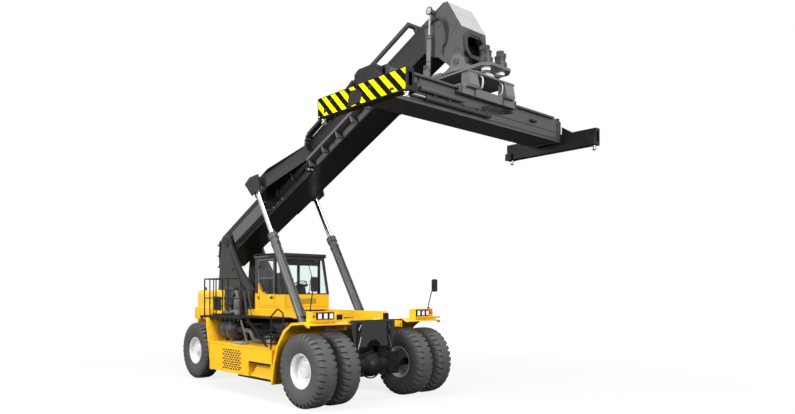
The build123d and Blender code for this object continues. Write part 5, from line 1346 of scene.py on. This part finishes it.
# ------------------ boom: chain, tray, duct, collar and lamps
FLOOR_W = -0.418
BOOM_HALF = 0.41
TRAY_W = FLOOR_W + 0.20
CHAIN_MID = -0.5175
BEND_U, BEND_R = 5.146, 0.295
COLLAR = (7.40, 7.585)


def build_chain():
    """Links of the energy chain: lower run in the tray, round the bend, and back along the top."""
    link = Shape()
    for y in (-0.0765, 0.0645):
        link.prism([(-0.044, -0.040), (0.044, -0.040), (0.049, 0.0), (0.044, 0.040), (-0.044, 0.040),
                    (-0.049, 0.0)], y, y + 0.012)
    for w in (-0.042, 0.036):
        link.box((-0.020, 0.020), (-0.066, 0.066), (w, w + 0.006))
    spots = []
    low, centre = TRAY_W + 0.012 + 0.045, TRAY_W + 0.012 + 0.34
    spots += [(6.39 - 0.098 * i, low, 0.0) for i in range(13)]
    bends = 9
    for i in range(bends):
        angle = math.radians(-90 - 180 * (i + 0.5) / bends)
        spots.append((BEND_U + BEND_R * math.cos(angle), centre + BEND_R * math.sin(angle),
                      -(angle + math.pi / 2)))
    spots += [(BEND_U + 0.05 + 0.099 * i, centre + BEND_R, 0.0) for i in range(21)]
    places = [BOOM @ Matrix.Translation((u, CHAIN_MID, w)) @ Matrix.Rotation(turn, 4, "Y")
              for u, w, turn in spots]
    made = copies("energy_chain_links", link, places, "boom", soft_black)
    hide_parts("energy_chain")
    # the cables that the chain carries
    shape = Shape(BOOM)
    for y in (-0.556, -0.530, -0.504, -0.478):
        run = [(6.42, y, low), (5.80, y, low), (BEND_U + 0.02, y, low)]
        run += [(BEND_U + BEND_R * math.cos(math.radians(a)), y, centre + BEND_R * math.sin(math.radians(a)))
                for a in range(-110, -260, -20)]
        run += [(BEND_U + 0.02, y, centre + BEND_R), (6.2, y, centre + BEND_R), (7.22, y, centre + BEND_R)]
        shape.hose(run, 0.0105, 2, 3)
    shape.piece("chain_cables", "boom", "cab_trim", hose)


def build_boom_sides():
    """Grey patches of painted light on the lower side under the tray, ribs, flange strips, seams, the mouth's
    collar, and lamps.
    """
    panels, ribs, lines = Shape(BOOM), Shape(BOOM), Shape(BOOM)
    posts = (4.80, 5.42, 6.05, 6.68, 7.22)
    # grey plates between the ribs paint the light that falls on the boom's lower side: painted light
    for first, last in zip(posts, posts[1:]):
        panels.box((first + 0.07, last - 0.02), (-0.4135, -0.4095), (FLOOR_W + 0.035, TRAY_W - 0.015))
    for u in posts:
        for side in (0.0, 0.045):
            ribs.loft([[(at, -BOOM_HALF, FLOOR_W + 0.02), (at, -BOOM_HALF, TRAY_W), (at, -0.60, TRAY_W)]
                       for at in (u + side, u + side + 0.006)])
    for side in (-1, 1):
        ribs.box((2.55, 7.58), span(side, 0.385, 0.424), (FLOOR_W - 0.012, FLOOR_W - 0.0005))
        ribs.box((2.55, 7.58), span(side, 0.385, 0.422), (FLOOR_W + 0.8005, FLOOR_W + 0.812))
        for u in (1.35, 2.62, 4.62, 6.30):
            if side > 0 or u < 4:
                lines.box((u, u + 0.010), span(side, BOOM_HALF, 0.4125), (FLOOR_W + 0.03, FLOOR_W + 0.77))
        lines.box((2.7, 7.45), span(side, BOOM_HALF, 0.4120), (FLOOR_W + 0.52, FLOOR_W + 0.527))
        # doubler plates at the mouth
        ribs.box(COLLAR, span(side, 0.4105, 0.428), (FLOOR_W - 0.012, FLOOR_W + 0.812))
    ribs.box(COLLAR, (-0.42, 0.42), (FLOOR_W - 0.022, FLOOR_W - 0.0005))
    ribs.box(COLLAR, (-0.42, 0.42), (FLOOR_W + 0.8005, FLOOR_W + 0.822))
    panels.piece("boom_side_panels", "boom", "boom_grey", grey, bevel=0.0015)
    ribs.piece("boom_ribs", "boom", "boom_grey", boom_paint, bevel=0.002)
    lines.piece("boom_seams", "boom", "boom_grey", black)
    spots = [(BOOM @ Vector((u, side * 0.428, w)), (0, side, 0)) for side in (-1, 1) for u in (7.44, 7.54)
             for w in (FLOOR_W + 0.07, FLOOR_W + 0.24, FLOOR_W + 0.58, FLOOR_W + 0.74)]
    copies("collar_bolts", bolt(0.020, 0.014), spots, "boom", steel)
    # a pair of work lamps, and hooks under the tray
    lamp, glass = Shape(BOOM), Shape(BOOM)
    for y in (-0.565, -0.455):
        lamp.hollow((4.62, 4.70), about(y, 0.046), (FLOOR_W - 0.03, FLOOR_W + 0.07), 0.010)
        glass.box((4.63, 4.692), about(y, 0.037), (FLOOR_W - 0.021, FLOOR_W + 0.061))
    lamp.box((4.60, 4.80), (-0.61, -BOOM_HALF), (FLOOR_W + 0.07, FLOOR_W + 0.082))
    for u in (4.86, 5.7, 6.5):
        lamp.pipe([(u, -0.60, TRAY_W - 0.002), (u, -0.60, TRAY_W - 0.07), (u + 0.05, -0.60, TRAY_W - 0.09),
                   (u + 0.06, -0.60, TRAY_W - 0.05)], 0.008, 0.02)
    lamp.piece("boom_lamps", "boom", "boom_grey", black, bevel=0.002)
    glass.piece("boom_lamp_lenses", "boom", "boom_grey", lens, bevel=0.006)


def build_duct():
    """The blue pipe and hoses in the duct, and the hoses from there to the tray."""
    shape = Shape(BOOM)
    shape.pipe([(0.75, -0.50, 0.0), (1.0, -0.515, -0.02), (2.30, -0.515, -0.02), (2.42, -0.50, -0.02)], 0.016,
               0.06)
    shape.piece("blue_pipe", "boom", "boom_grey", blue)
    shape = Shape(BOOM)
    for i, w in enumerate((-0.21, -0.16, -0.11, -0.065)):
        shape.hose([(-0.15, -0.44 - 0.01 * i, w + 0.10), (0.25, -0.47, w + 0.16), (0.55, -0.505, w + 0.02),
                    (1.2, -0.51, w), (2.3, -0.51, w), (3.2, -0.47, w - 0.02), (4.1, -0.46, w - 0.02),
                    (4.55, -0.50, TRAY_W + 0.02 + 0.02 * i), (4.80, -0.51, TRAY_W + 0.035)], 0.0165)
    shape.piece("duct_hoses", "boom", "boom_grey", hose)
    shape = Shape(BOOM)
    for u in (0.9, 1.6, 2.3, 3.1, 3.9):
        shape.box((u, u + 0.035), (-0.545, -BOOM_HALF), (-0.262, -0.246))
        shape.box((u, u + 0.035), (-0.545, -0.535), (-0.262, -0.03))
    shape.piece("duct_clamps", "boom", "boom_grey", charcoal, bevel=0.002)
    # bolts on the wings
    spots = [(BOOM @ Vector((u, side * 0.411, w)), (0, side, 0)) for side in (-1, 1)
             for u in (2.62, 2.86, 3.10) for w in (FLOOR_W + 0.10, FLOOR_W + 0.30)]
    copies("boom_bolts", bolt(0.020, 0.014), spots, "boom", steel)


# ------------------ nose, head and slewing gear
def at_head(x, z):
    """The (x, z) of a place that far from the head pin."""
    return HX + x, HZ + z


def build_nose():
    """Pale front panels that are a painted highlight, seams, the rimmed eight-sided opening with painted shade
    inside, ring eyes and looping hoses.
    """
    pale, lines, rim, shadow = Shape(), Shape(), Shape(), Shape()
    top, low = Vector(at_head(-0.286, 1.32)), Vector(at_head(0.094, 0.70))
    run = (low - top).normalized()
    out = Vector((-run.y, run.x))
    # pale grey strips on the upper front face, lighter where the light falls: painted highlight
    for first, last in ((0.006, 0.42), (0.43, 0.985)):
        a, b = top.lerp(low, first), top.lerp(low, last)
        pale.prism([tuple(a + out * 0.001), tuple(b + out * 0.001), tuple(b + out * 0.008),
                    tuple(a + out * 0.008)], -0.378, 0.378)
    pale.piece("nose_panels", "boom_inner", "boom_grey", nose_highlight_paint, bevel=0.002)
    # the opening's rim on the front plate, eight-sided inside and out
    rings = []

    def lean(z):
        return HX + 0.130 - (z - 0.20) * 0.072

    for half, low_z, high_z, proud in ((0.345, 0.085, 0.665, 0.001), (0.345, 0.085, 0.665, 0.030),
                                       (0.250, 0.165, 0.585, 0.030), (0.250, 0.165, 0.585, -0.10)):
        cut = half * 0.45
        tall = (high_z - low_z) * 0.27
        points = [(-half, low_z + tall), (-half + cut, low_z), (half - cut, low_z), (half, low_z + tall),
                  (half, high_z - tall), (half - cut, high_z), (-half + cut, high_z), (-half, high_z - tall)]
        rings.append([(lean(z) + proud, y, HZ + z) for y, z in points])
    rim.loft(rings, ends=False)
    rim.piece("nose_rim", "boom_inner", "boom_grey", charcoal, bevel=0.003)
    # a near-black sheet set inside the opening: painted shade
    shadow.box((HX - 0.26, HX - 0.25), (-0.345, 0.345), (HZ + 0.06, HZ + 0.70))
    shadow.piece("nose_inner_wall", "boom_inner", "boom_grey", dark)
    for side in (-1, 1):
        face = span(side, 0.3795, 0.3825)
        for a, b in (((-0.62, 1.18), (0.02, 0.66)), ((-0.86, 0.62), (-0.30, 1.05)),
                     ((-0.52, 0.30), (-0.02, 0.80))):
            first, last = Vector(at_head(*a)), Vector(at_head(*b))
            across = Vector((-(last - first).normalized().y, (last - first).normalized().x)) * 0.005
            lines.prism([tuple(first - across), tuple(last - across), tuple(last + across),
                         tuple(first + across)], *face)
        # ring round the upper damper pin, with its cap
        lines.lathe(band(0.050, 0.085, 0, 0.026), (HX - 0.706, min(side * 0.482, side * 0.508), HZ + 1.24),
                    (0, 1, 0), 36)
        lines.lathe([(0, 0.098), (0.012, 0.098), (0.016, 0.085)], (HX, side * 0.3805, HZ), (0, side, 0), 36)
    lines.piece("nose_seams", "boom_inner", "boom_grey", charcoal)
    spots = [((HX + x, side * 0.381, HZ + z), (0, side, 0)) for side in (-1, 1)
             for x, z in ((-0.34, 0.92), (-0.30, 0.88), (-0.36, 0.86), (-0.05, 0.30), (-0.10, 0.25),
                          (0.02, 0.26))]
    copies("nose_bolts", bolt(0.014, 0.010), spots, "boom_inner", charcoal)
    shape = Shape()
    for i in range(4):
        y = -0.395 - 0.003 * i
        shape.hose([(HX - 0.92 + 0.02 * i, y, HZ + 0.98), (HX - 0.66, y, HZ + 1.14 - 0.03 * i),
                    (HX - 0.40 - 0.02 * i, y, HZ + 1.04), (HX - 0.26 - 0.03 * i, y, HZ + 0.82),
                    (HX - 0.30, y, HZ + 0.55 - 0.03 * i), (HX - 0.44, y, HZ + 0.42),
                    (HX - 0.40, y + 0.02, HZ + 0.25)], 0.013)
    shape.piece("nose_hoses", "boom_inner", "boom_grey", hose)


def build_head():
    """Slew motors, ring teeth, plate bolts, ribs, legs' faces and small hoses."""
    plate_top, plate_low = HZ - 0.19, HZ - 0.25
    motors, pinions, ribs = Shape(), Shape(), Shape()
    for side in (-1, 1):
        at = (HX + 0.594, side * 0.225, plate_low)
        motors.lathe([(0.058, 0.150), (0.078, 0.150), (0.080, 0.132), (0.100, 0.132), (0.105, 0.138),
                      (0.190, 0.138), (0.196, 0.118), (0.215, 0.118), (0.220, 0.108), (0.300, 0.108),
                      (0.305, 0.116), (0.330, 0.116), (0.336, 0.085), (0.360, 0.078), (0.440, 0.078),
                      (0.445, 0.060)], at, (0, 0, 1), 40)
        for t in turns(8):
            motors.lathe([(0, 0.013), (0.014, 0.013)],
                         (at[0] + 0.135 * math.cos(t), at[1] + 0.135 * math.sin(t), plate_low + 0.078),
                         (0, 0, 1), 6)
        motors.box((at[0] - 0.05, at[0] + 0.05), sorted((at[1] + side * 0.06, at[1] + side * 0.135)),
                   (plate_low + 0.34, plate_low + 0.42))
        pinions.lathe([(-0.052, 0.07), (-0.050, 0.088), (-0.006, 0.088), (-0.004, 0.10), (0.0, 0.10)], at,
                      (0, 0, 1), 26)
        for i in range(9):
            x = HX - 0.80 + 0.055 * i
            ribs.box((x, x + 0.020), span(side, 0.43, 0.555), (plate_top, plate_top + 0.022))
        ribs.lathe([(0, 0.052), (0.014, 0.052), (0.02, 0.04)], (HX, side * 0.455, HZ), (0, side, 0), 28)
        ribs.lathe([(0, 0.042), (0.012, 0.042)], (HX - 0.756, side * 0.556, HZ + 0.04), (0, side, 0), 24)
    motors.piece("slew_motors", "head", "boom_grey", charcoal)
    pinions.piece("slew_pinions", "head", "boom_grey", white)
    ribs.piece("head_ribs", "head", "boom_grey", charcoal, bevel=0.002)
    spots = [((HX + 0.545 * math.cos(t), 0.545 * math.sin(t), plate_top), (0, 0, 1))
             for t in turns(30, 0.5) if abs(0.545 * math.sin(t)) < 0.36 or math.cos(t) > 0]
    copies("head_bolts", bolt(0.017, 0.016), spots, "head", steel)
    tooth = Shape()
    tooth.prism([(-0.001, -0.014), (0.020, -0.007), (0.020, 0.007), (-0.001, 0.014)], -0.038, 0.038, axis="z")
    spots = [Matrix.Translation((HX + 0.499 * math.cos(t), 0.499 * math.sin(t), plate_low - 0.055))
             @ Matrix.Rotation(t, 4, "Z") for t in turns(88)]
    copies("ring_teeth", tooth, spots, "slew_frame", white)
    shape = Shape()
    shape.lathe(band(0.487, 0.503, 0, 0.030), (HX, 0, plate_low - 0.1), (0, 0, 1), 88)
    shape.piece("ring_band", "slew_frame", "machinery_grey", pale_grey)
    faces, trim, wires = Shape(), Shape(), Shape()
    frame_z = plate_low - 0.14
    for x in (-1, 1):
        for y in (-1, 1):
            near, far = span(y, 0.425, 0.725)
            faces.loft([[(HX + x * a, near, z), (HX + x * a, far, z), (HX + x * b, far, z),
                         (HX + x * b, near, z)] for a, b, z in ((0.541, 0.548, frame_z - 0.001),
                                                                (0.600, 0.607, BEAM_TOP + 0.042))])
            trim.box(sorted((HX + x * 0.40, HX + x * 0.565)), span(y, 0.720, 0.728),
                     (frame_z - 0.02, frame_z + 0.004))
        for y in (-0.86, -0.45, 0.45, 0.86):
            trim.box(sorted((HX + x * 0.502, HX + x * 0.512)), about(y, 0.02),
                     (BEAM_TOP - 0.12, BEAM_TOP + 0.02))
    for y in (-0.34, -0.31, 0.30):
        wires.hose([(HX + 0.52, y, frame_z - 0.02), (HX + 0.60, y - 0.01, frame_z - 0.04),
                    (HX + 0.60, y, frame_z - 0.18), (HX + 0.55, y + 0.02, frame_z - 0.27),
                    (HX + 0.50, y + 0.03, BEAM_TOP + 0.05)], 0.011)
    faces.piece("leg_faces", "slew_frame", "machinery_grey", leg_paint, bevel=0.002)
    trim.piece("frame_trim", "slew_frame", "machinery_grey", charcoal, bevel=0.002)
    wires.piece("frame_hoses", "slew_frame", "machinery_grey", pale_grey)


build_chain()
build_boom_sides()
build_duct()
build_nose()
build_head()


# ------------------ cylinders, tower and hood
LIFT_FOOT = Vector((back(1.06), 0, 1.30))
LIFT_HEAD = Vector((back(3.65), 0, 5.45))
LIFT_Y = 0.98


def along_lift(distance, y, forward=0.0):
    """A point up a lift cylinder, and out from its axis towards the front."""
    run = (LIFT_HEAD - LIFT_FOOT).normalized()
    square = Vector((run.z, 0, -run.x))
    return LIFT_FOOT + run * distance + square * forward + Vector((0, y, 0))


def build_cylinders():
    """Collars, a side pipe with its clips, and a gland on each lift barrel; sleeves on the dampers."""
    collars, pipes, glands = Shape(), Shape(), Shape()
    run = LIFT_HEAD - LIFT_FOOT
    for side in (-1, 1):
        y = side * LIFT_Y
        for at, wide, radius in ((0.30, 0.05, 0.126), (1.25, 0.03, 0.124), (2.25, 0.03, 0.124),
                                 (3.02, 0.06, 0.130), (3.235, 0.02, 0.142), (3.36, 0.02, 0.142)):
            collars.lathe(band(0.119, radius, 0, wide), along_lift(at, y), run, 40)
        pipes.pipe([along_lift(3.10, y, 0.122), along_lift(3.06, y, 0.155), along_lift(0.62, y, 0.155),
                    along_lift(0.55, y, 0.122)], 0.017, 0.05)
        for at in (0.95, 1.85, 2.75):
            middle_of = along_lift(at, y, 0.138)
            pipes.box((middle_of.x - 0.030, middle_of.x + 0.022), about(y, 0.032),
                      (middle_of.z - 0.026, middle_of.z + 0.018))
        for at in (3.05, 0.58):
            block_at = along_lift(at, y, 0.128)
            pipes.box(about(block_at.x, 0.03), about(y, 0.035), about(block_at.z, 0.035))
        glands.lathe([(0, 0.072), (0, 0.108), (0.016, 0.108), (0.022, 0.090), (0.030, 0.0735)],
                     along_lift(3.385, y), run, 40)
        for t in turns(8):
            spot = along_lift(3.384, y + 0.118 * math.sin(t), 0.118 * math.cos(t))
            collars.lathe([(0, 0.012), (0.012, 0.012)], spot, run, 6)
        foot = along_lift(0.0, 0.0)
        collars.lathe([(0, 0.085), (0.016, 0.085), (0.020, 0.070)], (foot.x, y + side * 0.095, foot.z),
                      (0, side, 0), 28)
    collars.piece("lift_collars", "lift_barrels", "boom_grey", barrel_paint)
    pipes.piece("lift_pipes", "lift_barrels", "boom_grey", charcoal, bevel=0.003)
    glands.piece("lift_glands", "lift_barrels", "boom_grey", steel)
    shape = Shape()
    base, top = Vector((HX - 0.756, 0, HZ + 0.04)), Vector((HX - 0.706, 0, HZ + 1.24))
    line = (top - base).normalized()
    for side in (-1, 1):
        for at, wide in ((-0.08, 0.05), (0.12, 0.02), (0.60, 0.03), (0.665, 0.022)):
            shape.lathe(band(0.047, 0.054, 0, wide), base + line * at + Vector((0, side * 0.47, 0)), line, 28)
    shape.piece("damper_collars", "damper_barrels", "boom_grey", charcoal)


def build_tower():
    """Pin caps with bolts, plate edges, hose hooks and the hoses that climb to the boom."""
    shape, trim = Shape(), Shape()
    for side in (-1, 1):
        shape.lathe([(0, 0.185), (0.018, 0.185), (0.024, 0.165), (0.028, 0.165), (0.034, 0.10), (0.034, 0.0)],
                    (PIVOT.x, side * 0.571, PIVOT.z), (0, side, 0), 40)
        for t in turns(8):
            shape.lathe([(0, 0.016), (0.012, 0.016)], (PIVOT.x + 0.145 * math.cos(t), side * 0.594,
                                                       PIVOT.z + 0.145 * math.sin(t)), (0, side, 0), 6)
        # doubler along the plate's front edge, and round holes
        trim.prism([(PIVOT.x + 0.25, 3.85), (PIVOT.x + 0.33, 3.80), (back(4.62), 2.10), (back(4.74), 2.10)],
                   *span(side, 0.5705, 0.5765))
        for x, z in ((back(5.75), 3.30), (back(5.45), 2.70), (back(5.9), 2.45)):
            trim.lathe([(0, 0.055), (0.005, 0.055), (0.005, 0.038)], (x, side * 0.5702, z), (0, side, 0), 28)
    for z in (3.40, 3.75, 4.08):
        trim.pipe([(PIVOT.x - 0.42, -0.50, z), (PIVOT.x - 0.58, -0.50, z), (PIVOT.x - 0.58, -0.50, z + 0.10),
                   (PIVOT.x - 0.46, -0.50, z + 0.14)], 0.012, 0.04)
        trim.rod((PIVOT.x - 0.52, -0.58, z + 0.01), (PIVOT.x - 0.52, -0.30, z + 0.01), 0.022, 16)
    shape.piece("pivot_caps", "chassis", "frame_black", charcoal, bevel=0.002)
    trim.piece("tower_trim", "chassis", "frame_black", black)
    hoses = Shape()
    for i in range(5):
        y = -0.34 - 0.045 * i
        hoses.hose([(back(5.35), y, 2.0), (back(5.6), y, 2.25), (PIVOT.x - 0.30, y, 2.9),
                    (PIVOT.x - 0.50, y, 3.4), (PIVOT.x - 0.54, y, 3.9), (PIVOT.x - 0.46, y, 4.25)], 0.018)
    hoses.piece("tower_hoses", "chassis", "machinery_grey", hose)


HOOD_FACE, LOUVRE_FACE = 1.1495, 1.1535     # half widths


def build_hood():
    """The hood's louvres, handles and seams, the counterweight's lifting eyes, and the engine's covers."""
    slats, panel, seams = Shape(), Shape(), Shape()
    x = (back(5.88), back(5.40))
    for side in (-1, 1):
        panel.box(x, span(side, HOOD_FACE, LOUVRE_FACE), (2.07, 2.49))
        for i in range(10):
            z = 2.095 + 0.039 * i
            low, high = side * LOUVRE_FACE, side * 1.166
            slats.prism([(low, z), (high, z - 0.010), (high, z - 0.004), (low, z + 0.022)], x[0] + 0.02,
                        x[1] - 0.02, axis="x")
        seams.box((back(5.34), back(5.333)), span(side, HOOD_FACE, 1.152), (2.0, 2.60))
        for z in (2.16, 2.40):
            seams.box((back(5.385), back(5.355)), span(side, 1.15, 1.166), (z, z + 0.07))
        # lifting eyes on the counterweight
        seams.lathe(band(0.034, 0.062, 0, 0.028), (-5.62, side * 0.72 - 0.014, 2.715), (0, 1, 0), 28)
        seams.box((-5.665, -5.575), sorted((side * 0.72 - 0.04, side * 0.72 + 0.04)), (2.6805, 2.69))
    for y in (-0.575, 0.575):
        seams.box((-5.99, -5.0), about(y, 0.003), (2.6805, 2.682))
    panel.piece("hood_panels", "chassis", "body_yellow", soft_black, bevel=0.002)
    slats.piece("hood_louvres", "chassis", "body_yellow", black)
    seams.piece("hood_fittings", "chassis", "body_yellow", charcoal)
    shape = Shape()
    for side in (-1, 1):
        for i in range(6):
            at = -1.52 + 0.25 * i
            shape.box((at, at + 0.20), span(side, 0.18, 0.45), (1.80, 1.86))
        shape.rod((-1.55, side * 0.56, 1.55), (0.0, side * 0.56, 1.55), 0.05, 20)
    shape.lathe([(0, 0.10), (0.03, 0.13), (0.20, 0.13), (0.24, 0.08)], (-0.9, 0, 1.80), (0, 0, 1), 32)
    shape.piece("engine_covers", "chassis", "machinery_grey", cast, bevel=0.012)
    # flat stays from the deck to the box
    shape = Shape()
    for side in (-1, 1):
        shape.loft([[(back(a), side * c, z), (back(b), side * c, z), (back(b), side * d, z),
                     (back(a), side * d, z)] for a, b, c, d, z in ((3.02, 2.94, 1.86, 1.872, 1.90),
                                                                   (2.55, 2.47, 1.93, 1.942, 1.282))])
    shape.piece("deck_stays", "chassis", "frame_black", grey, bevel=0.002)


build_cylinders()
build_tower()
build_hood()


# ------------------ CAD nodes that stay as they are
def dress_nodes():
    for node, finish in (("engine_block", black), ("drive_axle", black), ("lift_barrels", barrel_paint),
                         ("damper_barrels", leg_paint), ("lift_rods", chrome), ("damper_rods", chrome),
                         ("cab_glass", window), ("door_glass", window)):
        dress(node, finish)


dress_nodes()


# ------------------ floor, light and camera
WORLD_LIGHT = 0.34      # strength of the sky on the machine
FLOOR_GLOW = 0.82       # share of plain white in the floor near the machine
FLOOR_REACH = 70


def floor_material():
    """A pale floor that fades to plain white away from the machine."""
    made = bpy.data.materials.new("pale_floor")
    made.use_nodes = True
    tree = made.node_tree
    shader = tree.nodes["Principled BSDF"]
    place = add(tree, "ShaderNodeTexCoord")
    cloud = noise(tree, place.outputs["Object"], 0.4, 3)
    pale = ramp(tree, cloud.outputs["Fac"], [(0.0, 0.86), (1.0, 0.90)])
    plug(tree, pale.outputs["Color"], shader.inputs["Base Color"])
    fill(shader, Roughness=0.8, Specular_IOR_Level=0.1)
    # seen straight on, part of the floor is a plain white glow, which keeps the shadow soft; the light
    # that the floor throws back on the machine is that of a dull yard
    rays = add(tree, "ShaderNodeLightPath")
    dull = fill(add(tree, "ShaderNodeBsdfDiffuse"), Color=(0.07, 0.07, 0.07, 1))
    glow = fill(add(tree, "ShaderNodeEmission"), Strength=1.0, Color=(1, 1, 1, 1))
    mixed = add(tree, "ShaderNodeMixShader")
    reach = add(tree, "ShaderNodeVectorMath", operation="LENGTH")
    plug(tree, place.outputs["Object"], reach.inputs[0])
    fade = add(tree, "ShaderNodeMapRange")
    fill(fade, From_Min=5.0, From_Max=13.0, To_Min=FLOOR_GLOW, To_Max=1.0)
    plug(tree, reach.outputs["Value"], fade.inputs["Value"])
    plug(tree, fade.outputs["Result"], mixed.inputs[0])
    plug(tree, shader.outputs[0], mixed.inputs[1])
    plug(tree, glow.outputs[0], mixed.inputs[2])
    chosen = add(tree, "ShaderNodeMixShader")
    plug(tree, rays.outputs["Is Camera Ray"], chosen.inputs[0])
    plug(tree, dull.outputs[0], chosen.inputs[1])
    plug(tree, mixed.outputs[0], chosen.inputs[2])
    plug(tree, chosen.outputs[0], tree.nodes["Material Output"].inputs["Surface"])
    return made


def build_floor():
    mesh = bpy.data.meshes.new("studio_floor")
    corners = [(x * FLOOR_REACH, y * FLOOR_REACH, 0) for x, y in SQUARE]
    mesh.from_pydata(corners, [], [(0, 1, 2, 3)])
    mesh.materials.append(floor_material())
    made = stand("studio_floor", mesh)
    made.location.z = -0.004


def build_world():
    """White behind the machine; a duller sky, darker low down, lights it."""
    world = bpy.data.worlds.new("studio")
    world.use_nodes = True
    bpy.context.scene.world = world
    tree = world.node_tree
    tree.nodes.clear()
    rays = add(tree, "ShaderNodeLightPath")
    seen = fill(add(tree, "ShaderNodeBackground"), Strength=1.0, Color=(1, 1, 1, 1))
    place = add(tree, "ShaderNodeTexCoord")
    axes = add(tree, "ShaderNodeSeparateXYZ")
    plug(tree, place.outputs["Generated"], axes.inputs[0])
    height = add(tree, "ShaderNodeMapRange")
    fill(height, From_Min=-0.2, From_Max=0.9, To_Min=0.35, To_Max=1.0)
    plug(tree, axes.outputs["Z"], height.inputs["Value"])
    lit = fill(add(tree, "ShaderNodeBackground"), Color=(1, 1, 1, 1))
    plug(tree, sums(tree, "MULTIPLY", height.outputs["Result"], WORLD_LIGHT), lit.inputs["Strength"])
    mixed = add(tree, "ShaderNodeMixShader")
    seen_by = sums(tree, "MAXIMUM", rays.outputs["Is Camera Ray"], rays.outputs["Is Transmission Ray"])
    seen_by = sums(tree, "MAXIMUM", seen_by, sums(tree, "MULTIPLY", rays.outputs["Is Glossy Ray"],
                                                  height.outputs["Result"]))
    plug(tree, seen_by, mixed.inputs[0])
    plug(tree, lit.outputs[0], mixed.inputs[1])
    plug(tree, seen.outputs[0], mixed.inputs[2])
    out = add(tree, "ShaderNodeOutputWorld")
    plug(tree, mixed.outputs[0], out.inputs["Surface"])


def area_light(name, place, target, size, power):
    data = bpy.data.lights.new(name, "AREA")
    data.shape = "RECTANGLE"
    data.size, data.size_y = size
    data.energy = power
    made = stand(name, data)
    made.location = place
    made.rotation_euler = (Vector(target) - Vector(place)).to_track_quat("-Z", "Y").to_euler()


build_floor()
build_world()
area_light("overhead", (2, -4, 18), (0, 0, 2), (12, 12), 2000)
area_light("near_side", (-2, -19, 8), (-1, 0, 2.5), (10, 7), 3600)
area_light("front", (19, -3, 8), (1, 0, 3), (8, 6), 3300)

camera = stand("view", bpy.data.cameras.new("view"))
camera.data.lens = 28.956
camera.data.shift_x = 0.0222
camera.data.shift_y = 0.1061
camera.location = (11.883 + DX, -10.215, 2.640)
camera.rotation_euler = (math.radians(90), 0, math.radians(48.4))
bpy.context.scene.camera = camera
bpy.context.scene.view_settings.view_transform = "Standard"
